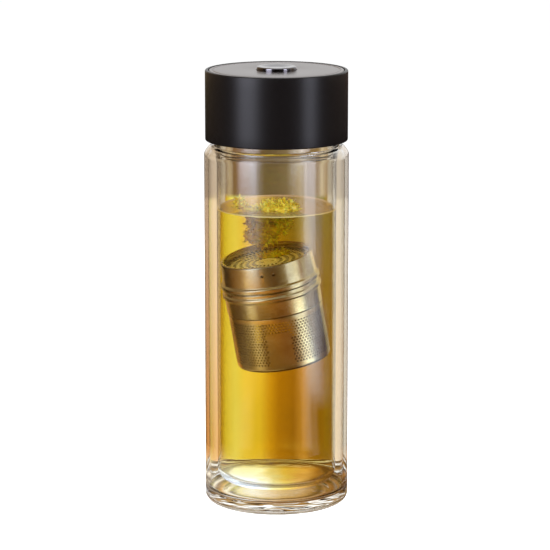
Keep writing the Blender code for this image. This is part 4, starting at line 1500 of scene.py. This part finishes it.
    def build_screen(self) -> None:
        """Build the screen, with rings of radial slots, a raised ring and two grip holes."""
        low, high = self.screen_low, self.screen_high
        outline = rounded_outline((
            (0.0, low, 0.0),
            (self.screen_radius, low, 0.1),
            (self.screen_radius, high, 0.1),
            (self.rib_outer[0], high, 0.2),
            (self.rib_outer[1], high + self.rib_height, 0.2),
            (self.rib_inner[0], high + self.rib_height, 0.2),
            (self.rib_inner[1], high, 0.2),
            (0.0, high, 0.0),
        ), steps=3)
        middle = (low + high) / 2
        spots = [(x, 0.0, middle) for x in (-self.grip_hole, self.grip_hole)]
        for index in range(self.slot_rings):
            ring = self.first_ring + self.ring_step * index
            count = round(FULL_TURN * ring / self.slot_step)
            for step in range(count):
                angle = FULL_TURN * (step + 0.5 * (index % 2)) / count
                spots.append((ring * math.cos(angle), ring * math.sin(angle), middle))
        slot = bmesh.new()
        bmesh.ops.create_cone(
            slot, cap_ends=True, segments=10, radius1=0.5 * MM, radius2=0.5 * MM, depth=2.0 * MM,
        )
        bmesh.ops.scale(slot, vec=(*self.slot_stretch, 1.0), verts=slot.verts)
        points = new_mesh("slot_spots", [Vector(spot) * MM for spot in spots])
        mesh = grown(points, slot_nodes("slotted", self.screen_steel), {
            "Plate": linked(
                "screen_plate", turned_mesh("screen_plate", outline, self.screen_segments),
            ),
            "Cutter": linked("slot_tool", baked("slot_tool", slot)),
        })
        # The dark lining on the slots' walls paints shade in them, and tea stain as well.
        edge = self.screen_radius - 0.3
        seat(
            "slotted_screen", mesh, self.screen_steel, Part.SCREEN, "magnetic_steel", "lid_screen",
            place=self.place, lining=(
                self.stain_and_shade, lambda reach, z: min(z - low, high - z) > 0.15 and reach < edge,
            ),
        )

    def build(self) -> None:
        """Build the infuser's four pieces."""
        self.build_cup()
        self.build_collar()
        self.build_lid()
        self.build_screen()


@dataclass
class LeafPlume:
    """Leaves thrown up by the drop: a cone in the tea, a crown above it, and some on the screen."""

    leaf: Material
    place: Matrix
    screen_top: float = 46.7
    infuser_height: float = 50.1
    level: float = 136.8
    blade_length: float = 4.0
    stations: int = 6
    seed: int = 7

    def blade(self) -> Object:
        """Return one curled leaf blade of two dozen faces.

        Returns:
            The blade, standing on its stalk.
        """
        verts: list[Corner] = []
        for step in range(self.stations + 1):
            share = step / self.stations
            wide = 0.75 * math.sin(math.pi * min(max(share, 0.06), 0.94)) ** 0.7
            curl = 0.9 * math.sin(share * 2.4)
            for x, y in ((wide, 0.0), (0.0, 0.12), (-wide, 0.0), (0.0, -0.12)):
                fold = 0.35 * abs(x)
                verts.append((x * MM, (y + curl + fold) * MM, self.blade_length * share * MM))
        last = self.stations * 4
        ends = [(3, 2, 1, 0), (last, last + 1, last + 2, last + 3)]
        mesh = new_mesh("leaf_blade", verts, wrapped(self.stations + 1, 4) + ends)
        return linked("leaf_blade", mesh)

    def lump(self, centre: Corner, size: Corner, rough: float) -> Mesh:
        """Return a crumpled closed lump.

        Args:
            centre: Its middle, in millimetres.
            size: Its half sizes, in millimetres.
            rough: Depth of the crumpling, as a share of the size.

        Returns:
            The lump, in metres.
        """
        shape = bmesh.new()
        bmesh.ops.create_icosphere(shape, subdivisions=4, radius=1.0)
        middle = Vector(centre)
        for vert in shape.verts:
            spot = Vector(vert.co)
            spot *= 1.0 + rough * noise.fractal(spot * 2.3 + middle, 1.0, 2.0, 4)
            vert.co = Vector([(middle[i] + spot[i] * size[i]) * MM for i in range(3)])
        return baked("lump", shape)

    def strewn(
        self, name: str, lumps: Sequence[tuple], density: float, sizes: Point2,
        place: Matrix | None = None,
    ) -> Object:
        """Return lumps with leaf blades strewn over them, as one piece.

        Args:
            name: The piece's name.
            lumps: Centre, half sizes and roughness of each lump.
            density: Blades on a square metre.
            sizes: Smallest and largest scale of a blade.
            place: Where the lumps go in the frame.

        Returns:
            The piece, riding on the screen's body.
        """
        joined = bmesh.new()
        for lump in lumps:
            absorb(joined, self.lump(*lump))
        mesh = grown(baked(name, joined), scatter_nodes(name + "_strewn", self.leaf), {
            "Blade": self.blade(), "Density": density, "Smallest": sizes[0], "Largest": sizes[1],
            "Seed": self.seed,
        })
        return seat(name, mesh, self.leaf, Part.SCREEN, place=place, sharp=math.radians(80.0))

    def build(self) -> None:
        """Build the crown, the cone and the leaves on the screen; the first two get meshes of their
        own.
        """
        crown = self.strewn("leaf_crown", (
            ((1.0, -3.5, self.level + 0.4), (8.8, 9.5, 2.9), 0.22),
            ((-16.6, -2.0, self.level + 2.4), (2.2, 2.4, 2.6), 0.35),
            ((-10.0, -4.0, self.level + 0.1), (5.0, 4.0, 0.7), 0.3),
        ), 420000.0, (0.32, 0.62))
        cone = self.strewn("leaf_cone", (
            ((-2.5, 1.0, self.level - 3.5), (10.5, 8.0, 3.2), 0.3),
            ((-3.5, 4.0, self.level - 9.0), (9.0, 6.0, 4.6), 0.3),
            ((-7.0, 6.0, self.level - 14.8), (7.0, 4.6, 3.4), 0.3),
        ), 260000.0, (0.4, 0.75))
        self.strewn("leaf_bed", (
            ((3.0, 9.0, self.screen_top + 0.4), (7.0, 4.6, 0.7), 0.35),
        ), 400000.0, (0.3, 0.5), self.place)
        for piece in (crown, cone):
            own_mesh(piece)


@dataclass(frozen=True)
class SoftFace:
    """The glowing face of a softbox, in metres and degrees, seen only in glass, steel and paint.

    Seen through glass it is a third as bright.
    """

    name: str
    heading: float
    width: float
    low: float
    fade: float
    bright: float
    tall: float = 0.6
    edge: Tones = ((0.0, "#000000"), (0.3, "#C4C4C4"), (0.6, "#D0D0D0"), (1.0, "#FFFFFF"))

    def light(self, tree: NodeTree, spot: NodeSocket, axes: NodeOutputs) -> Glow:
        """Return white light inside soft edges.

        Args:
            tree: The material's node tree.
            spot: Object coordinates.
            axes: Their three axes.

        Returns:
            Colour, strength and cover of the card's glow.
        """
        half = self.width / 2
        off = add_node(tree, "ShaderNodeMath", [axes["X"]], operation="ABSOLUTE")
        across = add_node(
            tree, "ShaderNodeMapRange", [off, half, half * 0.5], interpolation_type="SMOOTHSTEP",
        )
        upward = graded(tree, axes["Y"], (0.0, self.fade), self.edge)
        mask = add_node(tree, "ShaderNodeMath", [across, upward], operation="MULTIPLY")
        through = add_node(tree, "ShaderNodeLightPath").outputs["Is Transmission Ray"]
        power = add_node(tree, "ShaderNodeMapRange", [
            through, 0.0, 1.0, self.bright, self.bright / 3,
        ])
        return linear("#ECEEFF"), power, mask


@dataclass
class Studio:
    """Camera, floor, lamps and the cards that glass and steel mirror; none is the object.

    Lengths are metres. The tones run along or round each card.
    """

    lens: float = 176.22
    camera_at: Corner = (-0.0007, -1.2136, 0.348685)
    tilt_degrees: float = 78.672
    lamp_distance: float = 0.55
    lamp_height: float = 0.32
    lamp_aim: Corner = (0.0, 0.0, 0.12)
    side_lamps: tuple[tuple[str, float, Point2, float], ...] = (
        ("left_softbox", -47.0, (0.34, 0.56), 4.2),
        ("right_softbox", 53.0, (0.2, 0.56), 3.4),
    )
    far_lamps: tuple[tuple[str, Corner, Point2, float], ...] = (
        ("top_softbox", (0.0, 0.05, 0.95), (0.6, 0.6), 3.0),
        ("back_softbox", (-0.35, 0.55, 0.42), (0.4, 0.4), 2.0),
    )
    faces: tuple[SoftFace, ...] = (
        SoftFace("left_face", -46.0, 0.40, 0.050, 0.055, 6.5),
        SoftFace("right_face", 53.0, 0.24, 0.004, 0.085, 5.5),
    )
    floor_side: float = 6.0
    ring_reach: Point2 = (0.004, 0.104)
    cast_x: Point2 = (-0.018, 0.024)
    table_radii: tuple[float, ...] = (0.10, 0.68, 0.75, 0.75)
    table_heights: tuple[float, ...] = (0.002, 0.002, 0.05, 0.10)
    wall_height: float = 1.0
    near_reach: Point2 = (0.175, 0.215)
    far_reach: Point2 = (0.42, 0.5)
    card_reach: float = 0.06
    back: float = 0.0345
    back_top: float = 0.176
    surface_z: float = 0.1352
    base_z: float = 0.0075
    back_x: Point2 = (-0.05, 0.05)
    olive_z: Point2 = (0.07, 0.125)
    wall_x: float = 0.0302
    base_heights: Point2 = (0.0, 0.0105)
    fill: float = 0.45
    floor_lift: float = 0.68
    ring_glow: float = 1.3
    ring_ripple: float = 0.008
    dim_reach: Point2 = (0.42, 0.52)
    dimmed: float = 0.42
    rise_reach: Point2 = (0.51, 0.6)
    risen: float = 0.5
    behind_y: Point2 = (0.0, 0.1)
    overhead_z: Point2 = (0.3, 0.5)
    overhead_glow: float = 1.5
    room_glow: Point2 = (0.15, 2.7)
    surface_blur: float = 0.0015
    side_low: float = 0.02
    tea_glow: Point2 = (1.35, 0.95)
    base_glow: float = 1.35
    base_ripple: float = 0.003
    floor_tones: Tones = (
        (0.0, "#FFF0C0"), (0.12, "#FFFFFF"), (0.17, "#E8D8B0"), (0.205, "#4A3018"), (0.235, "#FFF8F0"),
        (0.265, "#B88848"), (0.29, "#2A1A0A"), (0.32, "#F0E8E0"), (0.35, "#5A4020"), (0.39, "#FFFFFF"),
        (0.43, "#3A2818"), (0.48, "#E8D8C0"), (0.53, "#4A3420"), (0.6, "#FFF0D8"), (0.7, "#6A5030"),
        (0.8, "#E6D2B0"), (1.0, "#8A7450"),
    )
    cast_tones: Tones = ((0.0, "#FFFFFF"), (0.5, "#D8BC90"), (1.0, "#A07848"))
    sky_tones: Tones = (
        (0.0, "#8A6C48"), (0.08, "#FFFFFF"), (0.46, "#FFFFFF"), (0.56, "#B8A080"), (0.62, "#FFFFFF"),
        (0.79, "#FFFFFF"), (0.83, "#C0A484"), (0.95, "#A88C68"), (1.0, "#8A6C48"),
    )
    close_tones: Tones = (
        (0.0, "#2A1A0A"), (0.05, "#5A4A30"), (0.09, "#A89878"), (0.12, "#988868"), (0.15, "#4A3418"),
        (0.37, "#3A2A18"), (0.39, "#A09080"), (0.42, "#B0A898"), (0.44, "#30200E"), (0.5, "#140C06"),
        (0.9, "#140C06"), (1.0, "#2A1A0A"),
    )
    near_tones: Tones = (
        (0.0, "#654218"), (0.06, "#7B5829"), (0.1, "#BA9558"), (0.16, "#B48238"), (0.23, "#8C5A18"),
        (0.28, "#6C4012"), (0.345, "#64401A"), (0.38, "#9A826C"), (0.42, "#FFFFFF"), (0.445, "#FFFFFF"),
        (0.48, "#8890A8"), (0.52, "#503820"), (0.58, "#3A2610"), (0.7, "#50361A"), (0.78, "#2A1804"),
        (0.93, "#2A1804"), (1.0, "#654218"),
    )
    far_tones: Tones = (
        (0.0, "#2D1F10"), (0.04, "#654C2C"), (0.09, "#B09878"), (0.12, "#D8DEE8"), (0.15, "#D0D4DC"),
        (0.19, "#6A5A3C"), (0.25, "#2C1C0A"), (0.295, "#3C2A14"), (0.345, "#5E4C2E"),
        (0.375, "#8A7A60"), (0.4, "#E8E4E0"), (0.45, "#D0CEDA"), (0.48, "#806868"), (0.53, "#5A4438"),
        (0.6, "#30200E"), (0.72, "#201408"), (0.78, "#2A1C0C"), (0.95, "#1E150A"), (1.0, "#2D1F10"),
    )
    tea_tones: Tones = (
        (0.0, "#D89450"), (0.12, "#E09850"), (0.19, "#F2C08C"), (0.205, "#E4A414"), (0.24, "#FFE450"),
        (0.3, "#FFF894"), (0.35, "#F8E460"), (0.42, "#F8E060"), (0.47, "#DCB028"), (0.51, "#BC8C10"),
        (0.58, "#A87A14"), (0.63, "#D0A060"), (0.67, "#A47818"), (0.76, "#9A7418"), (0.79, "#B88838"),
        (0.81, "#F4DCB8"), (0.9, "#F6E0CC"), (1.0, "#D8CCB8"),
    )
    upper_tea_tones: Tones = (
        (0.0, "#D89450"), (0.12, "#E09850"), (0.19, "#F2C08C"), (0.205, "#ECB028"), (0.24, "#FFE450"),
        (0.3, "#FFF48C"), (0.35, "#F0D048"), (0.42, "#F0D058"), (0.5, "#A88C28"), (0.58, "#8C7A24"),
        (0.63, "#A89C6C"), (0.67, "#807020"), (0.76, "#8C7C24"), (0.79, "#A88434"), (0.81, "#F4DCB8"),
        (0.9, "#F6E0CC"), (1.0, "#D8CCB8"),
    )
    headspace_tones: Tones = (
        (0.0, "#B8A690"), (0.12, "#F6E2C8"), (0.19, "#F2DCC0"), (0.21, "#B89470"), (0.24, "#DCBC90"),
        (0.27, "#90683C"), (0.33, "#8A6034"), (0.45, "#745C38"), (0.55, "#8E7450"), (0.62, "#CCB090"),
        (0.67, "#907044"), (0.72, "#A88450"), (0.75, "#E8CCA0"), (0.79, "#C8A478"), (0.81, "#EAD8C0"),
        (0.9, "#F0E0D4"), (1.0, "#E8DCD0"),
    )
    base_tones: Tones = (
        (0.0, "#E8E0D8"), (0.15, "#D8CCC0"), (0.2, "#4A3420"), (0.27, "#2A1A0A"), (0.31, "#F0ECE4"),
        (0.36, "#FFFFFF"), (0.4, "#B0A488"), (0.46, "#A87C40"), (0.52, "#7A5A30"), (0.55, "#2A1A0C"),
        (0.6, "#3A2810"), (0.64, "#E0D4C4"), (0.69, "#FFFFFF"), (0.73, "#8A7048"), (0.78, "#3A2A14"),
        (0.84, "#8A6C3C"), (0.88, "#FFFFFF"), (1.0, "#FFF8E8"),
    )

    def camera(self) -> None:
        """Place the camera at the photograph's view."""
        data = bpy.data.cameras.new("view")
        set_all(data, sensor_width=36.0, lens=self.lens, clip_start=0.05, clip_end=50.0)
        camera = linked("view", data)
        camera.location = self.camera_at
        camera.rotation_euler = (math.radians(self.tilt_degrees), 0.0, 0.0)
        bpy.context.scene.camera = camera

    def heading(self, degrees: float, height: float) -> Vector:
        """Return the place of a lamp.

        Args:
            degrees: The direction, counted from the camera's to the right.
            height: The height, in metres.

        Returns:
            The place.
        """
        angle = math.radians(degrees)
        reach = self.lamp_distance
        return Vector((reach * math.sin(angle), -reach * math.cos(angle), height))

    def lamp(self, name: str, place: Vector, size: Point2, power: float) -> None:
        """Add a rectangular soft lamp, whose shape only the cards show in mirrors.

        Args:
            name: The lamp's name.
            place: Where it stands.
            size: Its width and height.
            power: Its power in watts.
        """
        data = bpy.data.lights.new(name, "AREA")
        set_all(data, shape="RECTANGLE", size=size[0], size_y=size[1], energy=power)
        facing = (Vector(self.lamp_aim) - place).to_track_quat("-Z", "Y").to_euler()
        set_all(
            linked(name, data), location=place, rotation_euler=facing, visible_glossy=False,
            visible_transmission=False,
        )

    def mirrored(self, tree: NodeTree) -> tuple[Source, Source]:
        """Return values that are 1 for camera rays, and 1 for mirrored and refracted rays.

        Args:
            tree: The material's node tree.

        Returns:
            Both values, in that order.
        """
        path = add_node(tree, "ShaderNodeLightPath").outputs
        either = add_node(tree, "ShaderNodeMath", [
            path["Is Glossy Ray"], path["Is Transmission Ray"],
        ], operation="MAXIMUM")
        return path["Is Camera Ray"], either

    def staged(self, mesh: Mesh, material: Material, **settings: object) -> None:
        """Put a mesh in the set with a finish that isn't sampled as a lamp.

        Args:
            mesh: The mesh.
            material: Its finish.
            **settings: Properties of the object.
        """
        material.cycles.emission_sampling = "NONE"
        mesh.materials.append(material)
        set_all(linked(mesh.name, mesh), **settings)

    def floor_shade(self, tree: NodeTree, place: NodeSocket) -> dict[str, Source]:
        """Return a matt floor, of which glass sees only warm and cool rings, darker at the right.

        Args:
            tree: The material's node tree.
            place: Object coordinates.

        Returns:
            The inputs of the material's output.
        """
        camera, seen = self.mirrored(tree)
        away = add_node(tree, "ShaderNodeVectorMath", [place], operation="LENGTH").outputs["Value"]
        uneven = add_node(tree, "ShaderNodeTexNoise", {"Vector": place, "Scale": 45.0, "Detail": 1.0})
        wavy = add_node(tree, "ShaderNodeMath", [
            uneven, self.ring_ripple, away,
        ], operation="MULTIPLY_ADD")
        x, _, _ = add_node(tree, "ShaderNodeSeparateXYZ", [place]).outputs
        tinted = add_node(tree, "ShaderNodeMix", {
            0: 1.0, 6: graded(tree, wavy, self.ring_reach, self.floor_tones),
            7: graded(tree, x, self.cast_x, self.cast_tones),
        }, data_type="RGBA", blend_type="MULTIPLY")
        matt = add_node(tree, "ShaderNodeBsdfDiffuse", [linear("#DCDCDC")])
        share = add_node(tree, "ShaderNodeMath", [camera, self.floor_lift], operation="MULTIPLY")
        lift = add_node(tree, "ShaderNodeEmission", {"Strength": share})
        plain = add_node(tree, "ShaderNodeAddShader", [matt, lift])
        glow = add_node(tree, "ShaderNodeEmission", [tinted.outputs[2], self.ring_glow])
        return {"Surface": add_node(tree, "ShaderNodeMixShader", [seen, plain, glow])}

    def floor(self) -> None:
        """Lay the pale floor, which keeps the object's shadow; glass sees rings on it."""
        side = self.floor_side
        corners = [(-side, -side, 0.0), (side, -side, 0.0), (side, side, 0.0), (-side, side, 0.0)]
        material = new_material("pale_floor", self.floor_shade)
        self.staged(new_mesh("floor", corners, [(0, 1, 2, 3)]), material)

    def world(self) -> None:
        """Light the scene softly from all round; metal and glass see a room that is warm at left."""
        world = bpy.data.worlds.new("studio")
        bpy.context.scene.world = world
        world.use_nodes = True
        tree = world.node_tree
        tree.nodes.clear()
        camera, seen = self.mirrored(tree)
        facing = add_node(tree, "ShaderNodeTexCoord").outputs["Generated"]
        around = add_node(tree, "ShaderNodeTexGradient", [facing], gradient_type="RADIAL")
        sky = graded(tree, around.outputs["Fac"], (0.0, 1.0), self.sky_tones)
        fill = add_node(tree, "ShaderNodeBackground", [linear("#FFFFFF"), self.fill])
        white = add_node(tree, "ShaderNodeBackground", [linear("#FFFFFF")])
        warm = add_node(tree, "ShaderNodeBackground", [sky])
        direct = add_node(tree, "ShaderNodeMixShader", [camera, fill, white])
        mixed = add_node(tree, "ShaderNodeMixShader", [seen, direct, warm])
        add_node(tree, "ShaderNodeOutputWorld", [mixed])

    def stand_card(
        self, name: str, verts: list, faces: list, light: Light, glossy: bool = True,
        place: Matrix = Matrix.Identity(4),
    ) -> None:
        """Stand a glowing card that only mirrored and refracted rays see.

        Args:
            name: The card's name.
            verts: Its corners.
            faces: Its faces.
            light: Takes the tree, Object coordinates and their axes, and returns the colour,
                strength and cover of the card's glow.
            glossy: True where polished surfaces may mirror it directly.
            place: Where it stands.
        """
        def shade(tree: NodeTree, spot: NodeSocket) -> dict[str, Source]:
            """Show the glow where its cover says so.

            Args:
                tree: The material's node tree.
                spot: Object coordinates.

            Returns:
                The inputs of the material's output.
            """
            axes = add_node(tree, "ShaderNodeSeparateXYZ", [spot]).outputs
            colour, strength, cover = light(tree, spot, axes)
            glow = add_node(tree, "ShaderNodeEmission", [colour, strength])
            clear = add_node(tree, "ShaderNodeBsdfTransparent")
            return {"Surface": add_node(tree, "ShaderNodeMixShader", [cover, clear, glow])}

        self.staged(
            new_mesh(name, verts, faces), new_material(name, shade), matrix_world=place,
            visible_camera=False, visible_diffuse=False, visible_shadow=False,
            visible_volume_scatter=False, visible_glossy=glossy,
        )

    def softbox(self, face: SoftFace) -> None:
        """Stand the soft-edged face of a softbox for glass, steel and paint to mirror.

        Args:
            face: The face.
        """
        half, tall = face.width / 2, face.tall
        turn = Matrix.Rotation(math.radians(face.heading), 4, "Z")
        turn @= Matrix.Rotation(math.pi / 2, 4, "X")
        self.stand_card(
            face.name, [(-half, 0, 0), (half, 0, 0), (half, tall, 0), (-half, tall, 0)],
            [(0, 1, 2, 3)], face.light,
            place=Matrix.Translation(self.heading(face.heading, face.low)) @ turn,
        )

    def room_light(self, tree: NodeTree, spot: NodeSocket, axes: NodeOutputs) -> Glow:
        """Return the tones that the cup sees near by and the lid ring farther off.

        Args:
            tree: The material's node tree.
            spot: Object coordinates.
            axes: Their three axes.

        Returns:
            Colour, strength and cover of the card's glow.
        """
        around = add_node(tree, "ShaderNodeTexGradient", [spot], gradient_type="RADIAL").outputs["Fac"]
        away = add_node(tree, "ShaderNodeVectorMath", [spot], operation="LENGTH").outputs["Value"]
        toned = graded(tree, around, (0.0, 1.0), self.close_tones).outputs[0]
        for reach, tones in ((self.near_reach, self.near_tones), (self.far_reach, self.far_tones)):
            beyond = add_node(tree, "ShaderNodeMapRange", [away, *reach])
            toned = add_node(tree, "ShaderNodeMix", {
                0: beyond, 6: toned, 7: graded(tree, around, (0.0, 1.0), tones),
            }, data_type="RGBA").outputs[2]
        dimmed = add_node(tree, "ShaderNodeMapRange", [away, *self.dim_reach, 1.0, self.dimmed])
        rising = add_node(tree, "ShaderNodeMapRange", [away, *self.rise_reach, 0.0, self.risen])
        front = add_node(tree, "ShaderNodeMath", [dimmed, rising], operation="ADD")
        behind = add_node(tree, "ShaderNodeMapRange", [axes["Y"], *self.behind_y])
        overhead = add_node(tree, "ShaderNodeMapRange", [
            axes["Z"], *self.overhead_z, 0.0, self.overhead_glow,
        ])
        fade = add_node(tree, "ShaderNodeMix", {0: behind, 2: front, 3: 1.0})
        lit = add_node(tree, "ShaderNodeMath", [fade, overhead], operation="MAXIMUM")
        through = add_node(tree, "ShaderNodeLightPath").outputs["Is Transmission Ray"]
        level = add_node(tree, "ShaderNodeMapRange", [through, 0.0, 1.0, *self.room_glow])
        return toned, add_node(tree, "ShaderNodeMath", [lit, level], operation="MULTIPLY"), 1.0

    def room(self) -> None:
        """Lay the warm table top round the object, with a low rim behind and a wall in front."""
        steps = 96
        verts = []
        for radius, height in zip(self.table_radii, self.table_heights):
            outermost = height == self.table_heights[-1]
            for step in range(steps):
                angle = FULL_TURN * step / steps
                front = max(0.0, -math.sin(angle)) ** 0.5 if outermost else 0.0
                top = height + self.wall_height * front
                verts.append((radius * math.cos(angle), radius * math.sin(angle), top))
        faces = wrapped(len(self.table_radii), steps)
        self.stand_card("room_card", verts, faces, self.room_light)

    def front_only(self, tree: NodeTree) -> Node:
        """Return a cover that is 1 on a card's front and 0 on its back."""
        back = add_node(tree, "ShaderNodeNewGeometry").outputs["Backfacing"]
        return add_node(tree, "ShaderNodeMath", [1.0, back], operation="SUBTRACT")

    def behind_tea(self, tree: NodeTree, spot: NodeSocket, axes: NodeOutputs) -> Glow:
        """Return the tones behind the tea and, above its surface, behind the headspace.

        Args:
            tree: The material's node tree.
            spot: Object coordinates.
            axes: Their three axes.

        Returns:
            Colour, strength and cover of the card's glow.
        """
        x, _, z = axes
        low, olive, high = [
            graded(tree, x, self.back_x, tones)
            for tones in (self.tea_tones, self.upper_tea_tones, self.headspace_tones)
        ]
        rising = add_node(tree, "ShaderNodeMapRange", [z, *self.olive_z])
        tea = add_node(tree, "ShaderNodeMix", {0: rising, 6: low, 7: olive}, data_type="RGBA")
        above = add_node(tree, "ShaderNodeMapRange", [
            z, self.surface_z - self.surface_blur, self.surface_z + self.surface_blur,
        ], interpolation_type="SMOOTHSTEP")
        slowly = add_node(tree, "ShaderNodeMapRange", [z, self.side_low, self.back_top])
        off = add_node(tree, "ShaderNodeMath", [x], operation="ABSOLUTE")
        outside = add_node(tree, "ShaderNodeMath", [off, self.wall_x], operation="GREATER_THAN")
        upper = add_node(tree, "ShaderNodeMix", {0: outside, 2: above, 3: slowly})
        zones = add_node(tree, "ShaderNodeMix", {
            0: upper, 6: tea.outputs[2], 7: high,
        }, data_type="RGBA")
        strength = add_node(tree, "ShaderNodeMapRange", [above, 0.0, 1.0, *self.tea_glow])
        return zones.outputs[2], strength, self.front_only(tree)

    def behind_base(self, tree: NodeTree, spot: NodeSocket, axes: NodeOutputs) -> Glow:
        """Return uneven stripes, which the thick base bends into rings.

        Args:
            tree: The material's node tree.
            spot: Object coordinates.
            axes: Their three axes.

        Returns:
            Colour, strength and cover of the card's glow.
        """
        uneven = add_node(tree, "ShaderNodeTexNoise", {"Vector": spot, "Scale": 60.0, "Detail": 1.0})
        height = add_node(tree, "ShaderNodeMath", [
            uneven, self.base_ripple, axes["Z"],
        ], operation="MULTIPLY_ADD")
        stripes = graded(tree, height, self.base_heights, self.base_tones)
        return stripes, self.base_glow, self.front_only(tree)

    def backdrop(self) -> None:
        """Stand the cards close behind the glass that show through tea, headspace and base."""
        for name, top, low, light in (
            ("back_card", self.back_top, self.base_z, self.behind_tea),
            ("base_card", self.base_z, 0.0, self.behind_base),
        ):
            verts = [(x, self.back, z) for z in (top, low) for x in (-self.card_reach, self.card_reach)]
            self.stand_card(name, verts, [(0, 2, 3, 1)], light, glossy=False)

    def build(self) -> None:
        """Set up the whole studio."""
        self.camera()
        self.floor()
        self.world()
        self.room()
        self.backdrop()
        for face in self.faces:
            self.softbox(face)
        for name, degrees, size, power in self.side_lamps:
            self.lamp(name, self.heading(degrees, self.lamp_height), size, power)
        for name, place, size, power in self.far_lamps:
            self.lamp(name, Vector(place), size, power)


@dataclass
class HiddenFittings:
    """CAD nodes that keep their own shape and get a real finish."""

    finishes: dict[str, Material] = field(default_factory=dict)

    def dress(self) -> None:
        """Give each kept CAD node its material."""
        for node, material in self.finishes.items():
            item = frame["nodes"][node]
            if item.material_slots:
                for slot in item.material_slots:
                    slot.material = material
            else:
                item.data.materials.append(material)
            log.info("%s keeps its CAD shape and gets %s", node, material.name)


def infuser_place() -> Matrix:
    """Return where the infuser's base is and how it leans, as the frame's own joint says.

    Returns:
        The place of the upright infuser's origin in the frame.
    """
    joint = next(item for item in frame["joints"] if item["name"] == "infuser_lid_turn")
    lean = Vector((0.0, 0.0, 1.0)).rotation_difference(Vector(joint["axis"]))
    return Matrix.Translation(Vector(joint["pos_m"])) @ lean.to_matrix().to_4x4()


def main() -> None:
    """Build the tumbler piece by piece round the frame, and light it."""
    logging.basicConfig(level=logging.INFO, format="%(name)s: %(message)s")
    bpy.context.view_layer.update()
    paint = GrainedSurface("black_powder_paint", "#0A0808", "#100D0D", 0.34, 0.25, 0.008, specular=0.28)
    plate = GrainedSurface("satin_black_plate", "#7C7674", "#847D7B", 0.3, 0.2, 0.004, 1.0)
    chrome = GrainedSurface("polished_black_chrome", "#6C6A6C", "#77757A", 0.08, 3.0, 0.002, 1.0)
    plain_steel = SpunSteel("turned_stainless", "#C9C7C3", roughness=0.25)
    plastic = GrainedSurface("moulded_polypropylene", "#141414", "#1B1B1B", 0.5, 0.4, 0.01).build()
    acetal = GrainedSurface(
        "natural_acetal", "#E2DED2", "#D8D3C4", 0.42, 0.8, 0.008, subsurface=0.1,
    ).build()
    silicone = GrainedSurface(
        "frosted_silicone", "#DAD9D5", "#D0CFCA", 0.55, 0.6, 0.01, subsurface=0.2,
    ).build()
    nickel = GrainedSurface("nickel_plating", "#C6BEB0", "#B8B0A2", 0.2, 1.2, 0.003, 1.0).build()
    drawn = GrainedSurface("drawn_spring_steel", "#B8B8BA", "#A6A6AA", 0.26, 0.5, 0.003, 1.0).build()
    # Both tea finishes paint light: a glow on the tea's floor and a glowing skin on its free surface.
    surface = BrewedTea("brewed_green_tea_free_surface", free=True, tint="#ECCFA0", ior=1.33)
    DoubleWallGlass(ClearGlass().build()).build()
    TeaFill(BrewedTea().build(), surface.build()).build()
    ScrewCap(paint.build(), plate.build(), plain_steel.build()).build()
    PushButton(chrome.build(), drawn).build()
    HiddenFittings({
        "seal_ring": silicone, "rod_o_ring": silicone, "button_guide": acetal, "gland_bush": acetal,
        "thread_insert": plastic, "magnet_housing": plastic, "rod_gland": plastic,
        "ring_magnet": nickel, "housing_screw_1": drawn, "housing_screw_2": drawn,
        "housing_screw_3": drawn, "plunger_rod": drawn, "retaining_clip": drawn,
    }).dress()
    place = infuser_place()
    turn = place.to_3x3()
    steel = SpunSteel(turn=turn)
    screen = SpunSteel("ferritic_stainless_430", "#FFFAF0", roughness=0.35, metallic=0.3, turn=turn)
    # A dark lining that paints shade in the infuser's hollows, and tea stain as well.
    stain_and_shade = SpunSteel("tea_stained_stainless", "#4A3822", "#33240F", 0.45, turn=turn)
    TeaInfuser(steel.build(), screen.build(), stain_and_shade.build(), place).build()
    LeafPlume(WetLeaf().build(), place).build()
    Studio().build()
    bpy.context.scene.view_settings.view_transform = "Standard"
    bpy.context.view_layer.update()


if __name__ == "__main__":
    main()
